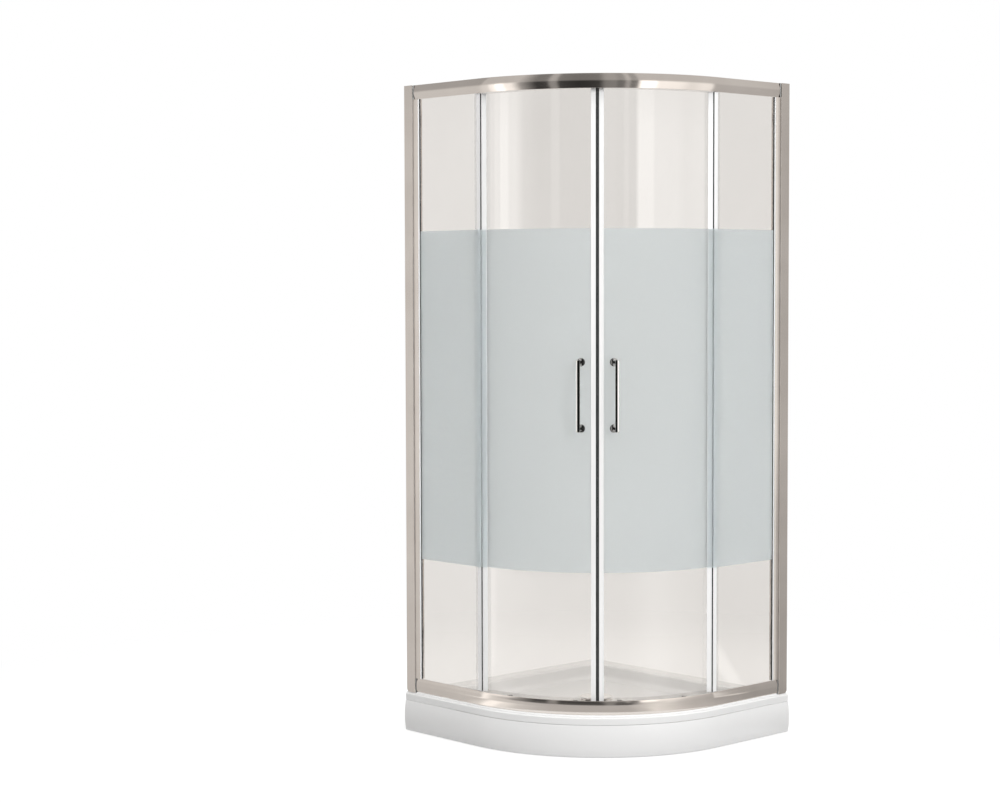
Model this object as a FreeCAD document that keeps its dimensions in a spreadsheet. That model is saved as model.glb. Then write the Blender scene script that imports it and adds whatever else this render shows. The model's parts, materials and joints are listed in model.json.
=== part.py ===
import FreeCAD, Part
import math
import os
from types import SimpleNamespace

import Sketcher

# Quarter-circle shower cabin: tray and apron, rails, two flat fixed panes, two curved sliding doors.
# The two walls meet at the corner (-x, +y). The origin is the middle of the square, on the floor.
# Right-hand pieces are drawn, and left-hand ones are their mirror images about the diagonal.

sizes = {
    # Whole cabin
    "tray_side": 900.0,
    "corner_radius": 550.0,
    "cabin_height": 2130.0,
    "deck_height": 130.0,
    "overrun": 5.0,
    "fit_clearance": 0.05,
    "slip_clearance": 0.3,
    # Tray
    "rim_set": 5.0,
    "rim_drop": 26.0,
    "sill_set": 11.0,
    "sill_rise": 3.0,
    "tray_wall": 5.0,
    "basin_set": 98.0,
    "basin_back": 70.0,
    "basin_depth": 50.0,
    "basin_corner": 60.0,
    "basin_cove": 22.0,
    "deck_round": 8.0,
    "rim_round": 3.0,
    "sill_round": 1.5,
    # Apron
    "apron_bulge": 5.0,
    "apron_wall": 5.0,
    "apron_lift": 2.0,
    "apron_gap": 3.0,
    "clip_width": 40.0,
    "clip_metal": 2.0,
    "clip_reach": 30.0,
    "clip_drop": 55.0,
    # Board, bars and feet
    "board_set": 12.0,
    "board_metal": 12.0,
    "bar_side": 25.0,
    "bar_wall": 2.0,
    "bar_back_inset": 16.0,
    "bar_front_inset": 128.0,
    "bar_end_inset": 120.0,
    "foot_inset": 40.0,
    "rod_radius": 6.0,
    "rod_seat": 6.0,
    "rod_head": 3.0,
    "nut_radius": 10.5,
    "nut_height": 8.0,
    "pad_radius": 22.0,
    "pad_height": 10.0,
    "pad_boss_radius": 11.0,
    "pad_boss_height": 8.0,
    # Waste
    "waste_radius": 45.0,
    "flange_radius": 57.0,
    "flange_metal": 3.0,
    "throat_wall": 3.5,
    "throat_play": 1.5,
    "throat_drop": 20.0,
    "gasket_height": 2.0,
    "trap_collar": 5.0,
    "trap_radius": 52.0,
    "trap_wall": 4.0,
    "trap_lift": 8.0,
    "outlet_radius": 20.0,
    "outlet_wall": 2.0,
    "outlet_rise": 22.0,
    "outlet_reach": 150.0,
    "shoulder_radius": 24.0,
    "shoulder_step": 4.0,
    "cover_radius": 55.0,
    "cover_metal": 4.0,
    "cover_round": 1.5,
    "cover_lift": 5.0,
    "leg_radius": 3.0,
    "leg_circle": 49.0,
    # Rails
    "sill_gasket_height": 2.0,
    "sill_gasket_inset": 3.0,
    "rail_set": 14.0,
    "rail_height": 46.0,
    "rail_crown": 3.5,
    "rail_skin": 2.5,
    "rail_web": 2.5,
    "rail_end_gap": 2.0,
    "groove_width": 9.0,
    "divider_wall": 2.0,
    "divider_drop": 22.0,
    "track_gap": 24.0,
    "track_width": 16.5,
    "track_level": 21.0,
    "track_metal": 2.0,
    "inner_wall": 2.0,
    # Wall profiles and stiles
    "profile_set": 10.0,
    "profile_face": 40.0,
    "profile_wall": 1.8,
    "profile_crown": 1.5,
    "wall_hole_radius": 2.6,
    "wall_hole_margin": 170.0,
    "stile_face": 22.0,
    "stile_tuck": 30.0,
    "stile_wall": 2.0,
    "stile_slot": 15.0,
    "gasket_lip": 1.5,
    # Glass
    "glass": 5.0,
    "fixed_clear": 2.0,
    "fixed_bite": 13.0,
    "groove_bite": 40.0,
    "gasket_show": 2.0,
    "door_step": 14.5,
    "door_bite": 19.0,
    "door_tail": 26.6,
    # Seals
    "seal_wall": 1.5,
    "seal_grip": 8.0,
    "seal_slip": 0.1,
    "seal_end_gap": 1.0,
    "fin_wall": 1.2,
    "fin_reach": 21.0,
    "fin_rise": 7.0,
    "tail_fin": 10.5,
    "door_gap": 0.6,
    "magnet_width": 4.7,
    "magnet_depth": 7.0,
    "magnet_seal_base": 2.0,
    "magnet_seal_grip": 13.0,
    # Corner blocks and screws
    "tongue_reach": 24.0,
    "tongue_margin": 1.5,
    "screw_radius": 1.9,
    "screw_head_radius": 3.5,
    "screw_head_height": 2.5,
    "screw_tip_gap": 0.2,
    "stile_screw_margin": 220.0,
    "stile_screw_inset": 20.0,
    # Door stops
    "stop_reach": 128.5,
    "stop_length": 15.0,
    "stop_inset": 1.0,
    # Handles
    "handle_offset": 52.0,
    "handle_middle": 1134.5,
    "handle_spacing": 207.0,
    "handle_overhang": 9.5,
    "handle_radius": 6.5,
    "handle_standoff": 50.0,
    "handle_shift": 4.0,
    "post_radius": 5.0,
    "post_round": 1.5,
    "post_hole_play": 1.0,
    "rosette_radius": 12.5,
    "rosette_height": 5.0,
    "rosette_round": 1.5,
    "handle_nut_radius": 11.0,
    "handle_nut_height": 6.0,
    # Rollers, the leading pair measured along the curve from the meeting doors, the other from its end
    "lead_reach": 68.2,
    "trail_reach": 102.31,
    "bracket_width": 16.0,
    "bracket_metal": 2.0,
    "bracket_margin": 3.0,
    "bracket_top": 40.0,
    "bolt_level": 9.5,
    "bolt_radius": 4.0,
    "bolt_head_radius": 7.5,
    "bolt_head_height": 2.0,
    "bolt_nut_radius": 7.0,
    "bolt_nut_height": 4.0,
    "axle_radius": 2.5,
    "axle_collar_radius": 4.0,
    "axle_keeper": 1.5,
    "wheel_radius": 8.5,
    "wheel_width": 5.0,
    "wheel_round": 0.8,
    "wheel_set": 59.0,
    "wheel_side_gap": 0.2,
    "wheel_tread_gap": 0.3,
    "seat_gap": 0.1,
}
clip_count = 3
cover_leg_count = 3
wall_hole_count = 4
stile_screw_count = 3

doc = FreeCAD.newDocument("shower_cabin")
sheet = doc.addObject("Spreadsheet::Sheet", "dims")
for row, (alias, number) in enumerate(sizes.items(), start=1):
    sheet.set(f"A{row}", alias)
    sheet.set(f"B{row}", str(number))
    sheet.setAlias(f"B{row}", alias)
doc.recompute()


# A size knows its present value and the spreadsheet formula that gives it.
class Size:
    def __init__(self, value, formula):
        self.value = value
        self.formula = formula

    def __add__(self, other):
        other = as_size(other)
        return Size(self.value + other.value, f"({self.formula} + {other.formula})")

    def __sub__(self, other):
        other = as_size(other)
        return Size(self.value - other.value, f"({self.formula} - {other.formula})")

    def __mul__(self, other):
        other = as_size(other)
        return Size(self.value * other.value, f"({self.formula} * {other.formula})")

    def __truediv__(self, other):
        other = as_size(other)
        return Size(self.value / other.value, f"({self.formula} / {other.formula})")

    def __neg__(self):
        return Size(-self.value, f"(-{self.formula})")

    def __radd__(self, other):
        return as_size(other) + self

    def __rsub__(self, other):
        return as_size(other) - self


def as_size(item):
    return item if isinstance(item, Size) else Size(float(item), str(item))


d = SimpleNamespace(**{alias: Size(float(sheet.get(alias)), f"dims.{alias}") for alias in sizes})
full_turn = as_size(360)
degrees_per_radian = as_size(180 / math.pi)
nodes = []


def bind(obj, path, size):
    obj.setExpression(path, as_size(size).formula)


def put(obj, x=0, y=0, z=0, turn=None):
    bind(obj, "Placement.Base.x", x)
    bind(obj, "Placement.Base.y", y)
    bind(obj, "Placement.Base.z", z)
    if turn is not None:
        bind(obj, "Placement.Rotation.Angle", turn)
    return obj


def node(label, obj):
    obj.Label = label
    nodes.append(obj)
    return obj


def box(name, x_span, y_span, z_span):
    block = doc.addObject("Part::Box", name)
    bind(block, "Length", x_span[1] - x_span[0])
    bind(block, "Width", y_span[1] - y_span[0])
    bind(block, "Height", z_span[1] - z_span[0])
    return put(block, x_span[0], y_span[0], z_span[0])


def post(name, x, y, z_span, radius, angle=full_turn, turn=None):
    cylinder = doc.addObject("Part::Cylinder", name)
    bind(cylinder, "Radius", radius)
    bind(cylinder, "Height", z_span[1] - z_span[0])
    bind(cylinder, "Angle", angle)
    return put(cylinder, x, y, z_span[0], turn)


# A cylinder lying along x, or along y.
def lying(name, x_span, y, z, radius):
    cylinder = doc.addObject("Part::Cylinder", name)
    cylinder.Placement.Rotation = FreeCAD.Rotation(FreeCAD.Vector(0, 1, 0), 90)
    bind(cylinder, "Radius", radius)
    bind(cylinder, "Height", x_span[1] - x_span[0])
    return put(cylinder, x_span[0], y, z)


def lying_across(name, x, y_span, z, radius):
    cylinder = doc.addObject("Part::Cylinder", name)
    cylinder.Placement.Rotation = FreeCAD.Rotation(FreeCAD.Vector(1, 0, 0), -90)
    bind(cylinder, "Radius", radius)
    bind(cylinder, "Height", y_span[1] - y_span[0])
    return put(cylinder, x, y_span[0], z)


def fuse(name, parts):
    joined = doc.addObject("Part::MultiFuse", name)
    joined.Shapes = parts
    joined.Refine = True
    return joined


def group(name, parts):
    bundle = doc.addObject("Part::Compound", name)
    bundle.Links = parts
    return bundle


def cut(name, base, tools):
    carved = doc.addObject("Part::Cut", name)
    carved.Base = base
    carved.Tool = tools[0] if len(tools) == 1 else fuse(f"{name}_tools", tools)
    carved.Refine = True
    return carved


def mirrored(name, source):
    twin = doc.addObject("Part::Mirroring", name)
    twin.Source = source
    twin.Normal = FreeCAD.Vector(1, 1, 0)
    return twin


# The piece itself is the right-hand node, and its mirror image the left-hand one.
def both_sides(label, right):
    node(f"{label}_right", right)
    node(f"{label}_left", mirrored(f"{label}_left", right))


def rounded(name, source, radius, picks):
    doc.recompute()
    edges = [n for n, edge in enumerate(source.Shape.Edges, start=1) if picks(edge)]
    if not edges:
        raise ValueError(f"{name} finds no edge to round")
    fillet = doc.addObject("Part::Fillet", name)
    fillet.Base = source
    fillet.Edges = [(n, radius.value, radius.value) for n in edges]
    return fillet


near = d.fit_clearance.value


def at_level(level):
    return lambda edge: all(abs(v.Z - level.value) < near for v in edge.Vertexes)


def upright(edge):
    ends = edge.Vertexes
    return len(ends) == 2 and abs(ends[0].Z - ends[1].Z) > near and math.hypot(
        ends[0].X - ends[1].X, ends[0].Y - ends[1].Y) < near


# A closed outline whose corners are bound to formulas. Arcs are given as {corner: rise}, where the rise is
# how far the arc from that corner to the next stands out to the right of its chord.
def outline(name, corners, arcs=None):
    arcs = arcs or {}
    sketch = doc.addObject("Sketcher::SketchObject", name)
    points = [FreeCAD.Vector(as_size(a).value, as_size(b).value, 0) for a, b in corners]
    count = len(points)
    for n, start in enumerate(points):
        end = points[(n + 1) % count]
        if n in arcs:
            chord = end - start
            side = FreeCAD.Vector(chord.y, -chord.x, 0).normalize()
            crest = (start + end) * 0.5 + side * arcs[n].value
            sketch.addGeometry(Part.Arc(start, crest, end))
        else:
            sketch.addGeometry(Part.LineSegment(start, end))
    # An arc may keep its ends in the other order, so each edge's own end at a corner is looked up.
    tail = {}
    head = {}
    for n, start in enumerate(points):
        flipped = n in arcs and (sketch.getPoint(n, 1) - start).Length > near
        tail[n] = 2 if flipped else 1
        head[n] = 1 if flipped else 2
    for n in range(count):
        after = (n + 1) % count
        sketch.addConstraint(Sketcher.Constraint("Coincident", n, head[n], after, tail[after]))
    for n, corner in enumerate(corners):
        for kind, label, size in (("DistanceX", "across", corner[0]), ("DistanceY", "along", corner[1])):
            size = as_size(size)
            index = sketch.addConstraint(Sketcher.Constraint(kind, -1, 1, n, tail[n], size.value))
            sketch.renameConstraint(index, f"{label}{n}")
            bind(sketch, f"Constraints.{label}{n}", size)
    for n, rise in arcs.items():
        first = corners[n]
        second = corners[(n + 1) % count]
        span_square = square(second[0] - first[0]) + square(second[1] - first[1])
        radius = (span_square / 4 + square(rise)) / (rise * 2)
        index = sketch.addConstraint(Sketcher.Constraint("Radius", n, radius.value))
        sketch.renameConstraint(index, f"radius{n}")
        bind(sketch, f"Constraints.radius{n}", radius)
    return sketch


def square(size):
    return as_size(size) * as_size(size)


def root(size):
    return Size(math.sqrt(size.value), f"sqrt({size.formula})")


# Shared places. Insets run inwards from the square's front sides, and the curve's middle is the pivot.
half = d.tray_side / 2
pivot_x = half - d.corner_radius
pivot_y = -pivot_x
straight = d.tray_side - d.corner_radius
fixed_reach = straight - d.fixed_clear
rail_edge = d.rail_set + d.rail_crown
groove_face = rail_edge + d.rail_skin
groove_back = groove_face + d.groove_width
divider_back = groove_back + d.divider_wall
track_edge = divider_back + d.track_gap
track_back = track_edge + d.track_width
rail_back = track_back + d.inner_wall
fixed_face = groove_face + (d.groove_width - d.glass) / 2
fixed_back = fixed_face + d.glass
door_face = fixed_back + d.door_step
door_back = door_face + d.glass
rail_end = straight - d.profile_face - d.rail_end_gap
bottom_rail_foot = d.deck_height + d.sill_gasket_height
bottom_rail_edge = bottom_rail_foot + d.rail_height
top_rail_edge = d.cabin_height - d.rail_height
wall_y = half
profile_edge_y = wall_y - d.profile_face
stile_edge_y = profile_edge_y - d.stile_face
fixed_edge_y = wall_y - fixed_reach


def inset_x(inset):
    return half - inset


# Sections stand at the end of the curve, with the inset as their first axis and the height as their second.
def section(name, corners, arcs=None, start=0):
    sketch = outline(name, corners, arcs)
    sketch.Placement.Rotation = FreeCAD.Rotation(
        FreeCAD.Vector(-1, 0, 0), FreeCAD.Vector(0, 0, 1), FreeCAD.Vector(0, 1, 0), "ZXY")
    return put(sketch, half, pivot_y + start, 0)


# Plans lie flat, measured as insets from the front side and distances from the back wall.
def plan(name, corners, z_span, arcs=None):
    sketch = outline(f"{name}_plan", corners, arcs)
    sketch.Placement.Rotation = FreeCAD.Rotation(FreeCAD.Vector(0, 0, 1), 180)
    put(sketch, half, wall_y, z_span[0])
    return extruded(name, sketch, z_span[1] - z_span[0])


def extruded(name, sketch, length):
    run = doc.addObject("Part::Extrusion", name)
    run.Base = sketch
    run.DirMode = "Normal"
    run.Solid = True
    bind(run, "LengthFwd", length)
    return run


def turned(name, sketch):
    bend = doc.addObject("Part::Revolution", name)
    bend.Source = sketch
    bend.Axis = FreeCAD.Vector(0, 0, 1)
    bend.Angle = -90
    bend.Solid = True
    bind(bend, "Base.x", pivot_x)
    bind(bend, "Base.y", pivot_y)
    return bend


# Straight run, quarter bend and straight run, joined into one length.
def swept(name, sketch, length):
    run = extruded(f"{name}_run", sketch, length)
    return fuse(name, [run, turned(f"{name}_bend", sketch), mirrored(f"{name}_far_run", run)])


# The square with its front corner rounded about the pivot.
def quadrant(name, front_inset, back_inset, z_span):
    front = half - front_inset
    back = half - back_inset
    left_block = box(f"{name}_left", (-back, pivot_x), (-front, back), z_span)
    right_block = box(f"{name}_right", (pivot_x, front), (pivot_y, back), z_span)
    reach = d.corner_radius - front_inset
    corner = post(f"{name}_corner", pivot_x, pivot_y, z_span, reach, as_size(90), as_size(-90))
    return fuse(name, [left_block, right_block, corner])


# A ring segment about a vertical axis, from a start angle over a span.
def segment(name, radii, z_span, start, span, x=0, y=0):
    outer = post(f"{name}_outer", x, y, z_span, radii[1], span, start)
    core_span = (z_span[0] - d.overrun, z_span[1] + d.overrun)
    return cut(name, outer, [post(f"{name}_core", x, y, core_span, radii[0])])


def ring(name, x, y, z_span, inner, outer):
    disc = post(f"{name}_disc", x, y, z_span, outer)
    core_span = (z_span[0] - d.overrun, z_span[1] + d.overrun)
    return cut(name, disc, [post(f"{name}_hole", x, y, core_span, inner)])


def arc_angle(length, radius):
    return length / radius * degrees_per_radian


# Tray
tray_top = d.deck_height
rim_top = tray_top - d.sill_rise
rim_foot = tray_top - d.rim_drop
basin_floor = tray_top - d.basin_depth
basin_foot = basin_floor - d.tray_wall


def make_tray():
    rim = quadrant("tray_rim", d.rim_set, 0, (rim_foot, rim_top))
    rim_edge = lambda e: at_level(rim_top)(e) and on_front(e, d.rim_set)
    rim = rounded("tray_rim_round", rim, d.rim_round, rim_edge)
    sill = quadrant("tray_sill", d.sill_set, 0, (rim_top, tray_top))
    sill_edge = lambda e: at_level(tray_top)(e) and on_front(e, d.sill_set)
    sill = rounded("tray_sill_round", sill, d.sill_round, sill_edge)
    under_span = (rim_foot - d.overrun, tray_top - d.tray_wall)
    under = quadrant("tray_under", d.rim_set + d.tray_wall, d.tray_wall, under_span)
    deck = cut("tray_deck", fuse("tray_block", [rim, sill]), [under])
    bowl_inset = d.basin_set - d.tray_wall
    bowl_back = d.basin_back - d.tray_wall
    bowl_round = d.basin_corner + d.tray_wall
    bowl = quadrant("tray_bowl", bowl_inset, bowl_back, (basin_foot, tray_top - d.tray_wall))
    bowl = rounded("tray_bowl_corners", bowl, bowl_round, sharp_upright)
    bowl = rounded("tray_bowl_cove", bowl, d.basin_cove + d.tray_wall, at_level(basin_foot))
    basin = quadrant("tray_basin", d.basin_set, d.basin_back, (basin_floor, tray_top + d.overrun))
    basin = rounded("tray_basin_corners", basin, d.basin_corner, sharp_upright)
    basin = rounded("tray_basin_cove", basin, d.basin_cove, at_level(basin_floor))
    drain = post("tray_drain", pivot_x, pivot_y, (basin_foot - d.overrun, tray_top), d.waste_radius)
    shell = cut("tray_shell", fuse("tray_body", [deck, bowl]), [basin, drain])
    lip = rounded("tray_lip", shell, d.deck_round, lambda e: at_level(tray_top)(e) and in_basin(e))
    node("shower_tray", lip)


def on_front(edge, inset):
    middle = edge.valueAt((edge.FirstParameter + edge.LastParameter) / 2)
    from_pivot = math.hypot(middle.x - pivot_x.value, middle.y - pivot_y.value)
    side = half.value - inset.value
    on_curve = abs(from_pivot - d.corner_radius.value + inset.value) < near
    return on_curve or abs(middle.x - side) < near or abs(middle.y + side) < near


# Edges that stand at a real corner, not where a straight side runs into the curve.
def sharp_upright(edge):
    end = edge.Vertexes[0]
    on_curve_end = abs(end.X - pivot_x.value) < near or abs(end.Y - pivot_y.value) < near
    return upright(edge) and not on_curve_end


def in_basin(edge):
    reach = half.value - d.sill_set.value - near
    rim = d.corner_radius.value - d.sill_set.value - near
    for v in edge.Vertexes:
        if v.X > reach or v.Y < -reach or v.X < -half.value + near or v.Y > half.value - near:
            return False
        if v.X > pivot_x.value and v.Y < pivot_y.value:
            if math.hypot(v.X - pivot_x.value, v.Y - pivot_y.value) > rim:
                return False
    return True


# Apron and its clips
apron_back = d.apron_bulge + d.apron_wall


def make_apron():
    top = rim_foot - d.apron_gap
    front = d.apron_bulge
    corners = [(front, top), (front, d.apron_lift), (apron_back, d.apron_lift), (apron_back, top)]
    profile = section("apron_section", corners, {0: d.apron_bulge})
    node("tray_apron", swept("tray_apron", profile, straight))


def make_apron_clips():
    clips = []
    outer = d.corner_radius - apron_back
    leg_top = tray_top - d.tray_wall
    span = arc_angle(d.clip_width, outer)
    for n in range(clip_count):
        start = as_size(-90 * (n + 1) / (clip_count + 1)) - span / 2
        leg_radii = (outer - d.clip_metal, outer)
        leg_span = (leg_top - d.clip_drop, leg_top)
        leg = segment(f"clip_leg_{n}", leg_radii, leg_span, start, span, pivot_x, pivot_y)
        flange_radii = (outer - d.clip_reach, outer - d.clip_metal)
        flange_span = (leg_top - d.clip_metal, leg_top)
        flange = segment(f"clip_flange_{n}", flange_radii, flange_span, start, span, pivot_x, pivot_y)
        clips.append(fuse(f"clip_{n}", [leg, flange]))
    node("apron_brackets", group("apron_brackets", clips))


# Board, bars and feet
board_foot = basin_foot - d.board_metal
bar_foot = board_foot - d.bar_side


board_inset = d.basin_set + d.basin_cove + d.board_set
board_back = d.basin_back + d.basin_cove + d.board_set
back_bar_x = board_back + d.bar_back_inset - half
front_bar_x = half - board_inset - d.bar_front_inset
front_bar_reach = front_bar_x + d.bar_side / 2 - pivot_x
curve_rise = root(square(d.corner_radius - d.bar_end_inset) - square(front_bar_reach))
bar_back_y = half - d.bar_end_inset
# Both bars stop short of the tray's front outline: one at its straight side and one at its curve.
bars = {
    "back": (back_bar_x, (d.bar_end_inset - half, bar_back_y)),
    "front": (front_bar_x, (pivot_y - curve_rise, bar_back_y)),
}


def foot_places():
    for x, y_span in bars.values():
        yield x, y_span[0] + d.foot_inset
        yield x, y_span[1] - d.foot_inset


def make_board():
    slab = quadrant("board_slab", board_inset, board_back, (board_foot, basin_foot))
    opening = (board_foot - d.overrun, basin_foot + d.overrun)
    reach = d.flange_radius + d.board_set
    well_x = (pivot_x - reach, pivot_x + reach)
    well = box("board_well", well_x, (pivot_y - reach, pivot_y + reach), opening)
    node("base_board", cut("base_board", slab, [well]))


def make_bars():
    tubes = []
    for tag, (middle, y_span) in bars.items():
        bore_span = (y_span[0] - d.overrun, y_span[1] + d.overrun)
        reach = d.bar_side / 2
        tube = box(f"{tag}_bar", (middle - reach, middle + reach), y_span, (bar_foot, board_foot))
        bore_reach = reach - d.bar_wall
        bore_z = (bar_foot + d.bar_wall, board_foot - d.bar_wall)
        bore = box(f"{tag}_bar_bore", (middle - bore_reach, middle + bore_reach), bore_span, bore_z)
        tubes.append(cut(f"{tag}_bar_tube", tube, [bore]))
    hole_span = (bar_foot - d.overrun, bar_foot + d.bar_wall + d.overrun)
    hole_radius = d.rod_radius + d.fit_clearance
    holes = [post(f"bar_hole_{n}", x, y, hole_span, hole_radius) for n, (x, y) in enumerate(foot_places())]
    node("support_bars", cut("support_bars", group("bar_pair", tubes), holes))


def make_feet():
    rods = []
    nuts = []
    pads = []
    hole = d.rod_radius + d.fit_clearance
    rod_top = board_foot - d.bar_wall - d.rod_head
    for n, (x, y) in enumerate(foot_places()):
        rods.append(post(f"rod_{n}", x, y, (d.rod_seat, rod_top), d.rod_radius))
        nut = doc.addObject("Part::Prism", f"nut_{n}")
        nut.Polygon = 6
        bind(nut, "Circumradius", d.nut_radius)
        bind(nut, "Height", d.nut_height)
        nut_foot = bar_foot - d.nut_height
        put(nut, x, y, nut_foot)
        nut_hole = post(f"nut_hole_{n}", x, y, (nut_foot - d.overrun, bar_foot + d.overrun), hole)
        nuts.append(cut(f"nut_ring_{n}", nut, [nut_hole]))
        disc = post(f"pad_disc_{n}", x, y, (as_size(0), d.pad_height), d.pad_radius)
        boss_top = d.pad_height + d.pad_boss_height
        boss = post(f"pad_boss_{n}", x, y, (d.pad_height, boss_top), d.pad_boss_radius)
        socket_span = (d.rod_seat, boss_top + d.overrun)
        socket = post(f"pad_socket_{n}", x, y, socket_span, hole)
        pads.append(cut(f"pad_{n}", fuse(f"pad_body_{n}", [disc, boss]), [socket]))
    node("foot_rods", group("foot_rods", rods))
    node("foot_nuts", group("foot_nuts", nuts))
    node("foot_pads", group("foot_pads", pads))


# Waste
gasket_foot = basin_foot - d.gasket_height
collar_foot = gasket_foot - d.trap_collar
throat_radius = d.waste_radius - d.throat_play


def make_waste():
    flange_top = basin_floor + d.flange_metal
    throat_foot = basin_floor - d.throat_drop
    plate = post("flange_plate", pivot_x, pivot_y, (basin_floor, flange_top), d.flange_radius)
    throat = post("flange_throat", pivot_x, pivot_y, (throat_foot, basin_floor), throat_radius)
    bore_span = (throat_foot - d.overrun, flange_top + d.overrun)
    bore = post("flange_bore", pivot_x, pivot_y, bore_span, throat_radius - d.throat_wall)
    node("waste_flange", cut("waste_flange", fuse("flange_body", [plate, throat]), [bore]))

    washer_span = (gasket_foot, basin_foot)
    washer = ring("waste_gasket", pivot_x, pivot_y, washer_span, d.waste_radius, d.flange_radius)
    node("waste_gasket", washer)

    collar = post("trap_collar_disc", pivot_x, pivot_y, (collar_foot, gasket_foot), d.flange_radius)
    pot = post("trap_pot", pivot_x, pivot_y, (d.trap_lift, collar_foot), d.trap_radius)
    outlet_z = d.trap_lift + d.outlet_rise
    pipe = lying_across("trap_pipe", pivot_x, (pivot_y, pivot_y + d.outlet_reach), outlet_z, d.outlet_radius)
    # the waste pipe is pushed on as far as this shoulder
    shoulder_span = (pivot_y, pivot_y + d.trap_radius + d.shoulder_step)
    shoulder = lying_across("trap_shoulder", pivot_x, shoulder_span, outlet_z, d.shoulder_radius)
    body = fuse("trap_body", [collar, pot, shoulder, pipe])
    chamber_span = (d.trap_lift + d.trap_wall, throat_foot)
    chamber = post("trap_chamber", pivot_x, pivot_y, chamber_span, d.trap_radius - d.trap_wall)
    neck_span = (throat_foot, gasket_foot + d.overrun)
    neck = post("trap_neck", pivot_x, pivot_y, neck_span, throat_radius + d.fit_clearance)
    pipe_bore_span = (pivot_y, pivot_y + d.outlet_reach + d.overrun)
    pipe_bore_radius = d.outlet_radius - d.outlet_wall
    pipe_bore = lying_across("trap_pipe_bore", pivot_x, pipe_bore_span, outlet_z, pipe_bore_radius)
    node("waste_trap", cut("waste_trap", body, [chamber, neck, pipe_bore]))

    cover_foot = flange_top + d.cover_lift
    cover_top = cover_foot + d.cover_metal
    lid = post("cover_lid", pivot_x, pivot_y, (cover_foot, cover_top), d.cover_radius)
    lid = rounded("cover_lid_round", lid, d.cover_round, at_level(cover_top))
    legs = []
    for n in range(cover_leg_count):
        angle = 2 * math.pi * n / cover_leg_count
        leg_x = pivot_x + d.leg_circle * math.cos(angle)
        leg_y = pivot_y + d.leg_circle * math.sin(angle)
        legs.append(post(f"cover_leg_{n}", leg_x, leg_y, (flange_top, cover_foot), d.leg_radius))
    node("waste_cover", fuse("waste_cover", [lid] + legs))


# Rails. Levels in a rail run from its open edge towards its web, upwards in the top rail.
def rail_level(level, top):
    return top_rail_edge + level if top else bottom_rail_edge - level


def make_rail(label, top):
    web = d.rail_height - d.rail_web
    shelf = d.track_level + d.track_metal
    divider_foot = d.rail_height - d.divider_drop
    levels = [
        (rail_edge, as_size(0)),
        (rail_edge, d.rail_height),
        (rail_back, d.rail_height),
        (rail_back, d.track_level),
        (track_edge, d.track_level),
        (track_edge, shelf),
        (track_back, shelf),
        (track_back, web),
        (divider_back, web),
        (divider_back, divider_foot),
        (groove_back, divider_foot),
        (groove_back, web),
        (groove_face, web),
        (groove_face, as_size(0)),
    ]
    corners = [(inset, rail_level(level, top)) for inset, level in levels]
    crown_at = 0
    if top:
        corners.reverse()
        crown_at = len(corners) - 2
    profile = section(f"{label}_section", corners, {crown_at: d.rail_crown})
    rail = swept(f"{label}_length", profile, rail_end)
    holes = [screw_hole(f"{label}_screw_hole", top)]
    holes.append(mirrored(f"{label}_far_screw_hole", holes[0]))
    node(label, cut(label, rail, holes))


def make_sill_gasket():
    front = rail_edge + d.sill_gasket_inset
    back = rail_back - d.sill_gasket_inset
    corners = [(front, tray_top), (back, tray_top), (back, bottom_rail_foot), (front, bottom_rail_foot)]
    node("sill_gasket", swept("sill_gasket", section("sill_gasket_section", corners), rail_end))


# Wall profiles and stiles
glass_middle = (fixed_face + fixed_back) / 2
profile_back = glass_middle * 2 - d.profile_set
profile_lining = d.profile_set + d.profile_crown + d.profile_wall
stile_front = profile_lining + d.slip_clearance
stile_back = profile_back - d.profile_wall - d.slip_clearance
stile_end_y = profile_edge_y + d.stile_tuck
stile_x = (inset_x(stile_back), inset_x(stile_front))
groove_x = (inset_x(groove_back), inset_x(groove_face))
between_rails = (bottom_rail_edge, top_rail_edge)
through_rails = (bottom_rail_edge - d.overrun, top_rail_edge + d.overrun)


def spread_heights(margin, count):
    low = d.deck_height + margin
    high = d.cabin_height - margin
    return [low + (high - low) * n / (count - 1) for n in range(count)]


def stile_screw_places():
    return [(profile_edge_y + d.stile_screw_inset, z)
            for z in spread_heights(d.stile_screw_margin, stile_screw_count)]


def make_wall_profile():
    edge = d.profile_face
    crest = d.profile_set + d.profile_crown
    leg = profile_back - d.profile_wall
    corners = [
        (crest, edge),
        (crest, as_size(0)),
        (profile_back, as_size(0)),
        (profile_back, edge),
        (leg, edge),
        (leg, d.profile_wall),
        (profile_lining, d.profile_wall),
        (profile_lining, edge),
    ]
    channel = plan("profile_channel", corners, (tray_top, d.cabin_height), {0: d.profile_crown})
    holes = []
    hole_y = (wall_y - d.profile_wall - d.overrun, wall_y + d.overrun)
    for n, z in enumerate(spread_heights(d.wall_hole_margin, wall_hole_count)):
        holes.append(lying_across(f"wall_hole_{n}", inset_x(glass_middle), hole_y, z, d.wall_hole_radius))
    hole_x = (inset_x(profile_back + d.overrun), inset_x(leg - d.slip_clearance))
    for n, (y, z) in enumerate(stile_screw_places()):
        holes.append(lying(f"profile_screw_hole_{n}", hole_x, y, z, d.screw_radius + d.fit_clearance))
    both_sides("wall_profile", cut("wall_profile", channel, holes))


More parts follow.
